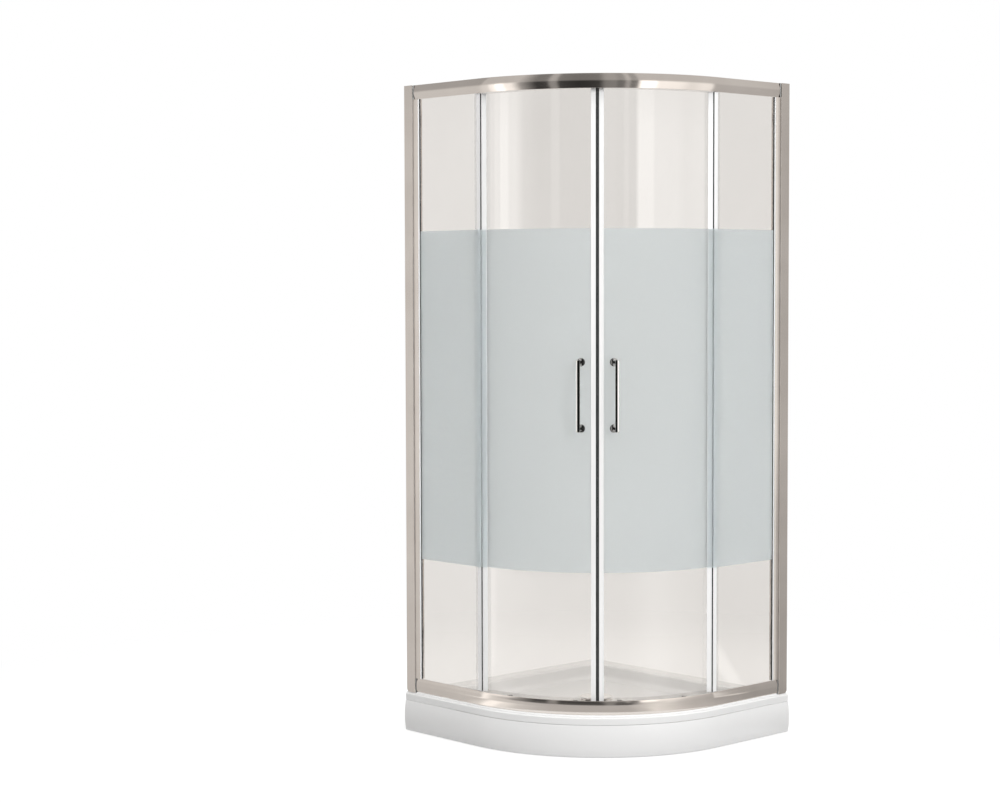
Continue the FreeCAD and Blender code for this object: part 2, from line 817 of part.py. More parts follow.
def make_stile():
    block = box("stile_block", stile_x, (stile_edge_y, stile_end_y), between_rails)
    slot_y = (stile_edge_y - d.overrun, stile_edge_y + d.stile_slot)
    slot = box("stile_slot_cut", groove_x, slot_y, through_rails)
    hollow_x = (stile_x[0] + d.stile_wall, stile_x[1] - d.stile_wall)
    hollow_y = (slot_y[1] + d.stile_wall, stile_end_y - d.stile_wall)
    hollow = box("stile_hollow", hollow_x, hollow_y, through_rails)
    hole_x = (stile_x[0] - d.overrun, hollow_x[0] + d.stile_wall)
    holes = [lying(f"stile_screw_hole_{n}", hole_x, y, z, d.screw_radius + d.fit_clearance)
             for n, (y, z) in enumerate(stile_screw_places())]
    both_sides("stile", cut("stile", block, [slot, hollow] + holes))


# Fixed glass and its gaskets
def make_fixed_pane():
    pane_x = (inset_x(fixed_back), inset_x(fixed_face))
    pane_z = (bottom_rail_edge - d.groove_bite, top_rail_edge + d.groove_bite)
    pane = box("fixed_glass", pane_x, (fixed_edge_y, stile_edge_y + d.fixed_bite), pane_z)
    both_sides("fixed_glass", pane)
    sleeve_y = (stile_edge_y - d.gasket_lip, stile_edge_y + d.stile_slot)
    sleeve = box("stile_gasket_block", groove_x, sleeve_y, between_rails)
    both_sides("stile_gasket", cut("stile_gasket", sleeve, [pane]))
    show = d.rail_height - d.divider_drop - d.gasket_show
    root = d.rail_height - d.rail_web
    shoes = []
    for top in (False, True):
        shoe_z = rail_span(show, root, top)
        shoe = box(f"rail_gasket_block_{int(top)}", groove_x, (fixed_edge_y, stile_edge_y), shoe_z)
        shoes.append(cut(f"rail_gasket_{int(top)}", shoe, [pane]))
    both_sides("rail_gaskets", group("rail_gaskets", shoes))


def make_fixed_seal():
    grip_end = fixed_reach - d.seal_grip
    nose = fixed_reach + d.seal_wall
    tip = nose + d.fin_reach
    outer = fixed_face - d.seal_wall
    inner = fixed_back + d.seal_wall
    fin_tip = fixed_back + d.fin_rise
    corners = [
        (outer, grip_end),
        (outer, nose),
        (fixed_back, nose),
        (fin_tip, tip),
        (fin_tip + d.fin_wall, tip),
        (inner, nose),
        (inner, grip_end),
        (fixed_back, grip_end),
        (fixed_back, fixed_reach),
        (fixed_face, fixed_reach),
        (fixed_face, grip_end),
    ]
    seal_z = (bottom_rail_edge + d.seal_end_gap, top_rail_edge - d.seal_end_gap)
    both_sides("fixed_seal", plan("fixed_seal", corners, seal_z))


# Corner blocks, screws and stops
rail_end_y = pivot_y + rail_end
tongue_root = divider_back + d.slip_clearance
tongue_y = rail_end_y - d.tongue_reach / 2


def rail_span(near_level, far_level, top):
    ends = (rail_level(near_level, top), rail_level(far_level, top))
    return ends if top else (ends[1], ends[0])


def tongue_levels():
    return d.rail_height - d.divider_drop + d.tongue_margin, d.rail_height - d.rail_web - d.tongue_margin


def tongue_height(top):
    low, high = tongue_levels()
    return rail_level((low + high) / 2, top)


def screw_hole(name, top):
    hole_x = (inset_x(stile_back + d.overrun), inset_x(groove_back - d.screw_tip_gap))
    return lying(name, hole_x, tongue_y, tongue_height(top), d.screw_radius + d.fit_clearance)


def make_corner_blocks():
    blocks = []
    for top in (False, True):
        part = int(top)
        head_y = (profile_edge_y, wall_y - d.profile_wall - d.slip_clearance)
        head = box(f"corner_head_{part}", stile_x, head_y, rail_span(as_size(0), d.rail_height, top))
        reach_x = (inset_x(stile_back), inset_x(tongue_root))
        reach_y = (rail_end_y - d.tongue_reach, profile_edge_y)
        tongue = box(f"corner_tongue_{part}", reach_x, reach_y, rail_span(*tongue_levels(), top))
        body = fuse(f"corner_body_{part}", [head, tongue])
        blocks.append(cut(f"corner_block_{part}", body, [screw_hole(f"corner_hole_{part}", top)]))
    both_sides("corner_blocks", group("corner_blocks", blocks))


def screw(name, head_inset, tip_inset, y, z):
    head_x = (inset_x(head_inset + d.screw_head_height), inset_x(head_inset))
    head = lying(f"{name}_head", head_x, y, z, d.screw_head_radius)
    shank = lying(f"{name}_shank", (inset_x(head_inset), inset_x(tip_inset)), y, z, d.screw_radius)
    return fuse(name, [head, shank])


def make_screws():
    screws = []
    for top in (False, True):
        tip = groove_back + d.screw_tip_gap
        screws.append(screw(f"rail_screw_{int(top)}", stile_back, tip, tongue_y, tongue_height(top)))
    for n, (y, z) in enumerate(stile_screw_places()):
        tip = stile_back - d.stile_wall - d.screw_tip_gap
        screws.append(screw(f"stile_screw_{n}", profile_back, tip, y, z))
    right = group("right_screws", screws)
    node("frame_screws", group("frame_screws", [right, mirrored("left_screws", right)]))


def make_stops():
    stop_x = (inset_x(track_back), inset_x(track_edge + d.stop_inset))
    stop_y = (pivot_y + d.stop_reach, pivot_y + d.stop_reach + d.stop_length)
    shelf = d.track_level + d.track_metal
    stop_z = rail_span(shelf, d.rail_height - d.rail_web, True)
    right = box("right_stop", stop_x, stop_y, stop_z)
    node("door_stops", group("door_stops", [right, mirrored("left_stop", right)]))


# Doors, drawn about the pivot with the radius along x, then set in place
door_out = d.corner_radius - door_face
door_in = d.corner_radius - door_back
door_z = (bottom_rail_edge - d.door_bite, top_rail_edge + d.door_bite)
door_cut_z = (door_z[0] - d.overrun, door_z[1] + d.overrun)
meeting = as_size(-45) + arc_angle(d.door_gap / 2, door_out)
magnet_turn = arc_angle(d.magnet_width, door_out)
base_turn = arc_angle(d.magnet_seal_base, door_out)
glass_start = meeting + magnet_turn + base_turn
glass_end = arc_angle(d.door_tail, door_out)
handle_angle = as_size(-45) + arc_angle(d.handle_offset, door_out)
handle_heights = (d.handle_middle - d.handle_spacing / 2, d.handle_middle + d.handle_spacing / 2)
axle_level = d.track_level + d.track_metal + d.wheel_tread_gap + d.wheel_radius
wheel_out = d.corner_radius - d.wheel_set
wheel_in = wheel_out - d.wheel_width
bracket_in = door_in - d.bracket_metal
track_middle = wheel_out - d.wheel_width / 2
stations = {
    "lead": arc_angle(d.lead_reach, track_middle) - 45,
    "trail": -arc_angle(d.trail_reach, track_middle),
}


def on_pivot(obj, turn=as_size(0)):
    return put(obj, pivot_x, pivot_y, 0, turn)


def make_door_glass():
    pane = segment("door_pane", (door_in, door_out), door_z, glass_start, glass_end - glass_start)
    hole_x = (door_in - d.overrun, door_out + d.overrun)
    post_hole = d.post_radius + d.post_hole_play
    grips = [lying(f"glass_grip_hole_{n}", hole_x, as_size(0), z, post_hole)
             for n, z in enumerate(handle_heights)]
    holes = [put(fuse("glass_grip_holes", grips), turn=handle_angle)]
    for name, angle in stations.items():
        pair = [lying(f"glass_bolt_hole_{name}_{int(top)}", hole_x, as_size(0), rail_level(d.bolt_level, top),
                      d.bolt_radius + d.fit_clearance) for top in (False, True)]
        holes.append(put(fuse(f"glass_bolt_holes_{name}", pair), turn=angle))
    both_sides("door_glass", on_pivot(cut("door_glass", pane, holes)))


def make_door_seals():
    middle = (door_in + door_out) / 2
    magnet_radii = (middle - d.magnet_depth / 2, middle + d.magnet_depth / 2)
    magnet = segment("magnet_bar", magnet_radii, door_z, meeting, magnet_turn)
    both_sides("magnet_strip", on_pivot(group("magnet_strip", [magnet])))

    grip = arc_angle(d.magnet_seal_grip, door_out)
    hug_radii = (door_in - d.seal_wall, door_out + d.seal_wall)
    hug = segment("magnet_seal_hug", hug_radii, door_z, meeting + magnet_turn, base_turn + grip)
    room_radii = (door_in - d.seal_slip, door_out + d.seal_slip)
    room = segment("magnet_seal_room", room_radii, door_cut_z, glass_start, grip * 2)
    both_sides("magnetic_seal", on_pivot(cut("magnetic_seal", hug, [room])))

    tail_grip = arc_angle(d.seal_grip, door_out)
    tail_wall = arc_angle(d.seal_wall, door_out)
    tail = segment("tail_hug", hug_radii, door_z, glass_end - tail_grip, tail_grip + tail_wall)
    tail_room = segment("tail_room", room_radii, door_cut_z, glass_end - tail_grip * 2, tail_grip * 2)
    clip = cut("tail_clip", tail, [tail_room])
    fin_radii = (door_out, door_out + d.tail_fin)
    fin = segment("tail_fin_blade", fin_radii, door_z, glass_end, tail_wall)
    both_sides("trailing_seal", on_pivot(fuse("trailing_seal", [clip, fin])))


def at_radius(radius):
    return lambda edge: all(abs(v.X - radius.value) < near for v in edge.Vertexes)


def make_handle():
    bar_x = door_out + d.handle_standoff
    bar_z = (handle_heights[0] - d.handle_overhang, handle_heights[1] + d.handle_overhang)
    bar = post("handle_bar", bar_x, d.handle_shift, bar_z, d.handle_radius)
    bar_ends = lambda e: at_level(bar_z[0])(e) or at_level(bar_z[1])(e)
    bar = rounded("handle_bar_round", bar, d.post_round, bar_ends)
    nut_face = door_in - d.seat_gap * 2
    post_x = (nut_face - d.handle_nut_height, bar_x)
    posts = [lying(f"handle_post_{n}", post_x, as_size(0), z, d.post_radius)
             for n, z in enumerate(handle_heights)]
    both_sides("handle", on_pivot(fuse("handle", [bar] + posts), handle_angle))
    rosettes = []
    nuts = []
    hole = d.post_radius + d.fit_clearance
    hole_x = (post_x[0] - d.overrun, bar_x)
    for n, z in enumerate(handle_heights):
        bore = lying(f"grip_bore_{n}", hole_x, as_size(0), z, hole)
        rosette_x = (door_out, door_out + d.rosette_height)
        disc = lying(f"rosette_disc_{n}", rosette_x, as_size(0), z, d.rosette_radius)
        disc = rounded(f"rosette_round_{n}", disc, d.rosette_round, at_radius(rosette_x[1]))
        rosettes.append(cut(f"rosette_{n}", disc, [bore]))
        cap = lying(f"grip_nut_disc_{n}", (post_x[0], nut_face), as_size(0), z, d.handle_nut_radius)
        cap = rounded(f"grip_nut_round_{n}", cap, d.rosette_round, at_radius(post_x[0]))
        nuts.append(cut(f"grip_nut_{n}", cap, [bore]))
    both_sides("handle_rosettes", on_pivot(group("handle_rosettes", rosettes), handle_angle))
    both_sides("handle_nuts", on_pivot(group("handle_nuts", nuts), handle_angle))


def make_roller(station, angle):
    brackets = []
    bolts = []
    axles = []
    for top in (False, True):
        tag = f"{'top' if top else 'bottom'}_{station}"
        bolt_z = rail_level(d.bolt_level, top)
        axle_z = rail_level(axle_level, top)
        centre = as_size(0)
        width = arc_angle(d.bracket_width, door_in)
        plate_z = rail_span(d.bracket_margin, d.bracket_top, top)
        plate = segment(f"plate_{tag}", (bracket_in, door_in), plate_z, -width / 2, width)
        through = (bracket_in - d.overrun, door_in + d.overrun)
        bolt_hole = lying(f"plate_bolt_hole_{tag}", through, centre, bolt_z, d.bolt_radius + d.fit_clearance)
        axle_hole = lying(f"plate_axle_hole_{tag}", through, centre, axle_z, d.axle_radius + d.fit_clearance)
        brackets.append(cut(f"bracket_{tag}", plate, [bolt_hole, axle_hole]))

        nut_x = (bracket_in - d.seat_gap - d.bolt_nut_height, bracket_in - d.seat_gap)
        head_x = (door_out, door_out + d.bolt_head_height)
        head = lying(f"bolt_head_{tag}", head_x, centre, bolt_z, d.bolt_head_radius)
        shank = lying(f"bolt_shank_{tag}", (nut_x[0], door_out), centre, bolt_z, d.bolt_radius)
        bolts.append(fuse(f"bolt_{tag}", [head, shank]))
        nut = doc.addObject("Part::Prism", f"bolt_nut_{tag}")
        nut.Placement.Rotation = FreeCAD.Rotation(FreeCAD.Vector(0, 1, 0), 90)
        nut.Polygon = 6
        bind(nut, "Circumradius", d.bolt_nut_radius)
        bind(nut, "Height", d.bolt_nut_height)
        put(nut, nut_x[0], centre, bolt_z)
        nut_hole_x = (nut_x[0] - d.overrun, nut_x[1] + d.overrun)
        nut_hole = lying(f"bolt_nut_hole_{tag}", nut_hole_x, centre, bolt_z, d.bolt_radius + d.fit_clearance)
        bolts.append(cut(f"bolt_nut_ring_{tag}", nut, [nut_hole]))

        keeper_x = (wheel_in - d.wheel_side_gap - d.axle_keeper, wheel_in - d.wheel_side_gap)
        collar_x = (wheel_out + d.wheel_side_gap, bracket_in - d.seat_gap)
        keeper = lying(f"axle_keeper_{tag}", keeper_x, centre, axle_z, d.axle_collar_radius)
        collar = lying(f"axle_collar_{tag}", collar_x, centre, axle_z, d.axle_collar_radius)
        pin = lying(f"axle_pin_{tag}", (keeper_x[0], door_in), centre, axle_z, d.axle_radius)
        axles.append(fuse(f"axle_{tag}", [keeper, collar, pin]))

        tyre = lying(f"wheel_disc_{tag}", (wheel_in, wheel_out), centre, axle_z, d.wheel_radius)
        tyre = rounded(f"wheel_round_{tag}", tyre, d.wheel_round,
                       lambda e: at_radius(wheel_in)(e) or at_radius(wheel_out)(e))
        bore_x = (wheel_in - d.overrun, wheel_out + d.overrun)
        bore = lying(f"wheel_bore_{tag}", bore_x, centre, axle_z, d.axle_radius + d.fit_clearance)
        wheel = on_pivot(cut(f"wheel_turned_{tag}", tyre, [bore]), angle)
        both_sides(f"wheel_{tag}", wheel)
    return [put(group(f"{kind}_{station}", items), turn=angle)
            for kind, items in (("brackets", brackets), ("bolts", bolts), ("axles", axles))]


def make_rollers():
    sets = [make_roller(station, angle) for station, angle in stations.items()]
    for label, items in zip(("roller_brackets", "roller_bolts", "roller_axles"), zip(*sets)):
        both_sides(label, on_pivot(group(label, list(items))))


make_tray()
make_apron()
make_apron_clips()
make_board()
make_bars()
make_feet()
make_waste()
make_rail("bottom_rail", False)
make_rail("top_rail", True)
make_sill_gasket()
make_wall_profile()
make_stile()
make_fixed_pane()
make_fixed_seal()
make_corner_blocks()
make_screws()
make_stops()
make_door_glass()
make_door_seals()
make_handle()
make_rollers()

doc.recompute()
for obj in doc.Objects:
    if "Invalid" in obj.State or "Error" in obj.State:
        raise RuntimeError(f"{obj.Label} failed: {obj.State}")
for obj in nodes:
    if obj.Shape.isNull() or not obj.Shape.isValid() or not obj.Shape.Solids:
        raise RuntimeError(f"{obj.Label} has no sound shape")

os.makedirs("parts", exist_ok=True)
for obj in nodes:
    obj.Shape.exportStep(f"parts/{obj.Label}.step")
    print(f"{obj.Label}: {len(obj.Shape.Solids)} solids, {obj.Shape.Volume / 1000:.1f} cm3")
print(f"{len(nodes)} pieces written")
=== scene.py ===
import json
import math

import bmesh
import bpy
from mathutils import Matrix, Vector


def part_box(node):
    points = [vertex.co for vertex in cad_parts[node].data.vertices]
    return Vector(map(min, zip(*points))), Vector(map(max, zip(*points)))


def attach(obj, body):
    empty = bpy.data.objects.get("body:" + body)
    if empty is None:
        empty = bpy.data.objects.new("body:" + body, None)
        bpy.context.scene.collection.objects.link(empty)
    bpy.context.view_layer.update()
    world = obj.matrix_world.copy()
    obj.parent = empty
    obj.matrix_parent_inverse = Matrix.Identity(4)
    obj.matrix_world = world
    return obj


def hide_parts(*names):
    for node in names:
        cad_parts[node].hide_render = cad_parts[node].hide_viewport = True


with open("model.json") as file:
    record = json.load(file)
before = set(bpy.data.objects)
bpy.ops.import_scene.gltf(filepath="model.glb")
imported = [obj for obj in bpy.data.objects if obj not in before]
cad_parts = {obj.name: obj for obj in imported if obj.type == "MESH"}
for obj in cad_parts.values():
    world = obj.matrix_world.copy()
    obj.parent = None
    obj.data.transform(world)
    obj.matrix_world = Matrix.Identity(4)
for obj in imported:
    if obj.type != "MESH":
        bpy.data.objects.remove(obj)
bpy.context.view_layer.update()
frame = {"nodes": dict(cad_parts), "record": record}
nodes = frame["nodes"]
print("frame loaded,", len(nodes), "nodes")

cabin = {
    "half": 0.450,  # half of the square footprint
    "bend": 0.550,  # radius of the front curve at the tray's edge
    "top": 2.130,
    "deck": 0.130,
}
pivot = Vector((cabin["half"] - cabin["bend"], cabin["bend"] - cabin["half"]))
pivotFoot = Vector((pivot.x, pivot.y, 0))
upwards = (0, 0, 1)
hands = ("right", "left")


# Geometry helpers

def quarterTurn(steps):
    # cosine and sine at even steps of a quarter circle
    angles = [math.pi / 2 * n / steps for n in range(steps + 1)]
    return [(math.cos(a), math.sin(a)) for a in angles]


def frontLine(reach, steps=96):
    # stations along the front, from the right wall round to the left: a point and the way inwards
    half, bend = cabin["half"], cabin["bend"]
    stations = [(Vector((half, pivot.y + reach)), Vector((-1, 0)))]
    for c, s in quarterTurn(steps):
        outward = Vector((c, -s))
        stations.append((pivot + outward * bend, -outward))
    stations.append((Vector((pivot.x - reach, -half)), Vector((0, 1))))
    return stations


def roundCorners(corners, steps=4, most=0.49):
    # corners are (a, b, radius); each radius becomes a short run of points
    points = []
    count = len(corners)
    for n, (a, b, radius) in enumerate(corners):
        here = Vector((a, b))
        if radius == 0:
            points.append(here)
            continue
        before = Vector(corners[n - 1][:2]) - here
        after = Vector(corners[(n + 1) % count][:2]) - here
        angle = before.angle(after)
        back = min(radius / math.tan(angle / 2), before.length * most, after.length * most)
        start, end = here + before.normalized() * back, here + after.normalized() * back
        for k in range(steps + 1):
            t = k / steps
            points.append(start * (1 - t) ** 2 + here * 2 * t * (1 - t) + end * t ** 2)
    return points


def crownRun(low, high, rise, steps=10):
    # points of a shallow arc between two corners, without the ends, standing out by rise
    run = high - low
    side = Vector((run.y, -run.x)).normalized()
    points = []
    for n in range(1, steps):
        t = n / steps
        points.append(low + run * t + side * (rise * 4 * t * (1 - t)))
    return points


def loftRings(bm, rings, closed=False):
    # skins over rings of points; an open loft is capped at both ends
    made = [[bm.verts.new(p) for p in ring] for ring in rings]
    count = len(made[0])
    pairs = list(zip(made, made[1:])) + ([(made[-1], made[0])] if closed else [])
    for one, two in pairs:
        for k in range(count):
            bm.faces.new((one[k], one[(k + 1) % count], two[(k + 1) % count], two[k]))
    if not closed:
        bm.faces.new(made[0])
        bm.faces.new(made[-1])


def sweepFront(section, reach):
    # section points are (inset, height)
    bm = bmesh.new()
    rings = []
    for point, inward in frontLine(reach):
        rings.append([(*(point + inward * p.x), p.y) for p in section])
    loftRings(bm, rings)
    return bm


def upright(outline, levels):
    # each level is a height and a function that places an outline point there
    bm = bmesh.new()
    loftRings(bm, [[(*place(p), z) for p in outline] for z, place in levels])
    return bm


def sidePoint(inset, fromWall):
    return Vector((cabin["half"] - inset, cabin["half"] - fromWall))


def onSide(p):
    return sidePoint(p.x, p.y)


def plainUpright(corners, low, high, place=onSide):
    # corners are (inset, from the wall, radius)
    return upright(roundCorners(corners), [(low, place), (high, place)])


def quadrantLoop(front, back, corner, z, cornerSteps=8, steps=64):
    # the tray's outline, set in from its front and wall sides
    low, high = -cabin["half"] + back, cabin["half"] - back
    left, right = -cabin["half"] + front, cabin["half"] - front
    turns = [
        (right - corner, high - corner, 0),
        (low + corner, high - corner, 90),
        (low + corner, left + corner, 180),
    ]
    loop = []
    for x, y, first in turns:
        for n in range(cornerSteps + 1):
            a = math.radians(first + 90 * n / cornerSteps)
            loop.append((x + corner * math.cos(a), y + corner * math.sin(a), z))
    radius = cabin["bend"] - front
    for c, s in reversed(quarterTurn(steps)):
        loop.append((pivot.x + radius * c, pivot.y - radius * s, z))
    return loop


def lathe(bm, profile, place, axis, steps=48, closed=False):
    # profile points are (radius, height along the axis)
    turn = Vector(axis).to_track_quat("Z", "Y")
    rings = []
    for radius, height in profile:
        ring = []
        for n in range(steps):
            a = 2 * math.pi * n / steps
            offset = Vector((radius * math.cos(a), radius * math.sin(a), height))
            ring.append(Vector(place) + turn @ offset)
        rings.append(ring)
    loftRings(bm, rings, closed)


def domedRod(radius, low, high, edge, steps=6):
    # half section of a rod with rounded ends
    core = radius - edge
    foot = [(core + edge * s, low + edge * (1 - c)) for c, s in quarterTurn(steps)]
    head = [(core + edge * c, high - edge * (1 - s)) for c, s in quarterTurn(steps)]
    return foot + head


def handed(bm, hand):
    # made for the right hand; the left one is its mirror image about the diagonal
    if hand == "left":
        for v in bm.verts:
            v.co = Vector((-v.co.y, -v.co.x, v.co.z))
    return bm


def addObject(name, bm, finish):
    mesh = bpy.data.meshes.new(name)
    bm.to_mesh(mesh)
    bm.free()
    made = bpy.data.objects.new(name, mesh)
    bpy.context.scene.collection.objects.link(made)
    mesh.materials.append(finish)
    return made


def addPiece(name, bm, finishName, body, replaces=(), smoothAngle=35):
    bmesh.ops.recalc_face_normals(bm, faces=bm.faces)
    limit = math.radians(smoothAngle)
    for face in bm.faces:
        face.smooth = True
    for edge in bm.edges:
        edge.smooth = len(edge.link_faces) == 2 and edge.calc_face_angle(0) < limit
    piece = addObject(name, bm, finishes[finishName])
    even = piece.modifiers.new("evenShading", "WEIGHTED_NORMAL")
    even.keep_sharp = True
    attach(piece, body)
    if replaces:
        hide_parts(*replaces)
    return piece


# Finishes

# where in the noise each change starts and ends
grainSpan = {"colour": (0.35, 0.65), "roughLow": 0.2, "roughHigh": 0.8}


def newFinish(name):
    finish = bpy.data.materials.new(name)
    finish.use_nodes = True
    return finish, finish.node_tree, finish.node_tree.nodes["Principled BSDF"]


def addNode(tree, kind, **values):
    made = tree.nodes.new(kind)
    for key, value in values.items():
        setattr(made, key, value)
    return made


def grain(tree, scale, detail=3.0, stretch=(1, 1, 1)):
    # noise in the piece's own metres, drawn out by stretch
    place = addNode(tree, "ShaderNodeTexCoord")
    shape = addNode(tree, "ShaderNodeMapping")
    shape.inputs["Scale"].default_value = stretch
    noise = addNode(tree, "ShaderNodeTexNoise")
    noise.inputs["Scale"].default_value = scale
    noise.inputs["Detail"].default_value = detail
    tree.links.new(place.outputs["Object"], shape.inputs["Vector"])
    tree.links.new(shape.outputs["Vector"], noise.inputs["Vector"])
    return noise.outputs["Fac"]


def tint(tree, shader, factor, dark, light, low, high):
    ramp = addNode(tree, "ShaderNodeValToRGB")
    first, last = ramp.color_ramp.elements
    first.position = low
    last.position = high
    first.color = (*dark, 1)
    last.color = (*light, 1)
    tree.links.new(factor, ramp.inputs["Fac"])
    tree.links.new(ramp.outputs["Color"], shader.inputs["Base Color"])


def rough(tree, shader, factor, low, high):
    span = addNode(tree, "ShaderNodeMapRange")
    span.inputs["From Min"].default_value = grainSpan["roughLow"]
    span.inputs["From Max"].default_value = grainSpan["roughHigh"]
    span.inputs["To Min"].default_value = low
    span.inputs["To Max"].default_value = high
    tree.links.new(factor, span.inputs["Value"])
    tree.links.new(span.outputs["Result"], shader.inputs["Roughness"])


def relief(tree, shader, factor, strength, distance):
    bump = addNode(tree, "ShaderNodeBump")
    bump.inputs["Strength"].default_value = strength
    bump.inputs["Distance"].default_value = distance
    tree.links.new(factor, bump.inputs["Height"])
    tree.links.new(bump.outputs["Normal"], shader.inputs["Normal"])


def frameLook(lines):
    # drawn aluminium with fine lines along the extrusion
    return {
        "sockets": {"Metallic": 1.0},
        "colour": ((0.665, 0.615, 0.575), (0.715, 0.665, 0.625)),
        "colourGrain": (6.0,),
        "rough": (0.07, 0.13),
        "roughGrain": (300.0, 2.0, lines),
        "relief": (0.05, 0.0002),
        "reliefGrain": (300.0, 2.0, lines),
    }


def plainLook(dark, light, roughness, scale=80.0, metallic=0.0):
    # moulded or plated stuff with a fine grain
    return {
        "sockets": {"Metallic": metallic},
        "colour": (dark, light),
        "colourGrain": (scale * 0.3,),
        "rough": roughness,
        "roughGrain": (scale,),
        "relief": (0.15, 0.0001),
        "reliefGrain": (scale * 8, 2.0),
    }


# colours run from dark to light, roughness from low to high, relief is strength and depth;
# a grain is its scale, detail and stretch
looks = {
    "railMetal": frameLook((0.02, 0.02, 1)),
    "postMetal": frameLook((1, 1, 0.02)),
    "chromePlate": {
        "sockets": {"Metallic": 1.0},
        "colour": ((0.80, 0.79, 0.78), (0.86, 0.85, 0.84)),
        "colourGrain": (25.0,),
        "rough": (0.03, 0.08),
        "roughGrain": (90.0, 4.0),
    },
    "clearGlass": {
        "sockets": {
            "Transmission Weight": 1.0,
            "IOR": 1.5,
            "Coat Weight": 1.0,  # the coating that sheds water
            "Coat Roughness": 0.0,
            "Coat IOR": 1.75,
        },
        # the warm grey tint is partly the glass's own and partly a painted reflection of warm room walls
        "colour": ((0.765, 0.735, 0.703), (0.785, 0.755, 0.723)),
        "colourGrain": (3.0,),
        "rough": (0.0, 0.003),
        "roughGrain": (14.0, 4.0),
    },
    "frostFilm": {
        "sockets": {"Transmission Weight": 0.74, "IOR": 1.3},
        "colour": ((0.822, 0.856, 0.864), (0.852, 0.884, 0.892)),
        "colourGrain": (900.0, 2.0),
        "rough": (0.82, 0.95),
        "roughGrain": (500.0,),
        "relief": (0.2, 0.00005),
        "reliefGrain": (2500.0, 2.0),
    },
    "whiteAcrylic": {
        "sockets": {"Coat Weight": 0.3, "Coat Roughness": 0.22},
        "colour": ((0.851, 0.851, 0.851), (0.859, 0.859, 0.859)),
        "colourGrain": (40.0, 2.0),
        "colourSpan": (0.1, 0.9),
        "rough": (0.262, 0.274),
        "roughGrain": (150.0, 2.0),
    },
    "sealVinyl": {
        "colour": ((0.90, 0.90, 0.90), (0.95, 0.95, 0.95)),
        "colourGrain": (120.0, 2.0, (1, 1, 0.02)),
        "rough": (0.25, 0.4),
        "roughGrain": (60.0,),
    },
    "clearVinyl": {
        "sockets": {"Transmission Weight": 0.9, "IOR": 1.2},
        "colour": ((0.93, 0.94, 0.95), (0.97, 0.97, 0.975)),
        "colourGrain": (120.0, 2.0, (1, 1, 0.02)),
        "rough": (0.04, 0.10),
        "roughGrain": (60.0,),
    },
    "greyVinyl": plainLook((0.42, 0.39, 0.36), (0.48, 0.45, 0.42), (0.4, 0.55)),
    "blackRubber": plainLook((0.016, 0.016, 0.017), (0.03, 0.03, 0.031), (0.45, 0.65)),
    "zincSteel": plainLook((0.52, 0.52, 0.53), (0.66, 0.66, 0.66), (0.22, 0.4), 120.0, 1.0),
    "blackPlastic": plainLook((0.02, 0.02, 0.02), (0.035, 0.035, 0.036), (0.35, 0.5)),
    "whitePlastic": plainLook((0.70, 0.70, 0.68), (0.78, 0.78, 0.76), (0.3, 0.45)),
    "nylon": plainLook((0.72, 0.72, 0.69), (0.80, 0.80, 0.77), (0.25, 0.4)),
    "boardWood": {
        "colour": ((0.42, 0.30, 0.18), (0.62, 0.48, 0.32)),
        "colourGrain": (60.0, 6.0, (1, 0.15, 1)),
        "rough": (0.6, 0.8),
        "roughGrain": (40.0,),
        "relief": (0.3, 0.0004),
        "reliefGrain": (200.0, 4.0, (1, 0.1, 1)),
    },
}


def makeFinish(name, look):
    finish, tree, shader = newFinish(name)
    for socket, value in look.get("sockets", {}).items():
        shader.inputs[socket].default_value = value
    colourSpan = look.get("colourSpan", grainSpan["colour"])
    tint(tree, shader, grain(tree, *look["colourGrain"]), *look["colour"], *colourSpan)
    rough(tree, shader, grain(tree, *look["roughGrain"]), *look["rough"])
    if "relief" in look:
        relief(tree, shader, grain(tree, *look["reliefGrain"]), *look["relief"])
    return finish


finishes = {name: makeFinish(name, look) for name, look in looks.items()}
print("finishes made")


# Carried-over nodes take the finish of their slot

slotFinish = {
    "white_acrylic": "whiteAcrylic",
    "board": "boardWood",
    "zinc_steel": "zincSteel",
    "black_plastic": "blackPlastic",
    "frame_metal": "postMetal",
    "chrome": "chromePlate",
    "safety_glass": "clearGlass",
    "white_seal": "sealVinyl",
    "black_rubber": "blackRubber",
    "white_plastic": "whitePlastic",
    "nylon": "nylon",
}
for part in frame["record"]["subparts"]:
    node = nodes[part["node"]]
    node.data.materials.clear()
    node.data.materials.append(finishes[slotFinish[part["material_slot"]]])
for hand in hands:
    nodes["trailing_seal_" + hand].data.materials[0] = finishes["clearVinyl"]
print("nodes finished")


# Rails

railShape = {
    "edge": 0.0175,
    "back": 0.0735,
    "height": 0.046,
    "crown": 0.0035,
    "skin": 0.0025,
    "web": 0.0025,
    "groove": 0.009,
    "divider": 0.002,
    "dividerDrop": 0.022,
    "trackLevel": 0.021,
    "trackMetal": 0.002,
    "trackWidth": 0.0165,
    "innerWall": 0.002,
    "round": 0.0008,
    "smallRound": 0.0004,
    "reach": 0.3055,
}
# the black pads that paint the shade in the gap at the rails' ends
padShape = {"end": 0.3099, "front": 0.0165, "back": 0.036, "round": 0.001}
beadShape = {"foot": 0.0035, "back": 0.004, "lap": 0.0008, "rise": 0.0012, "round": 0.0006}


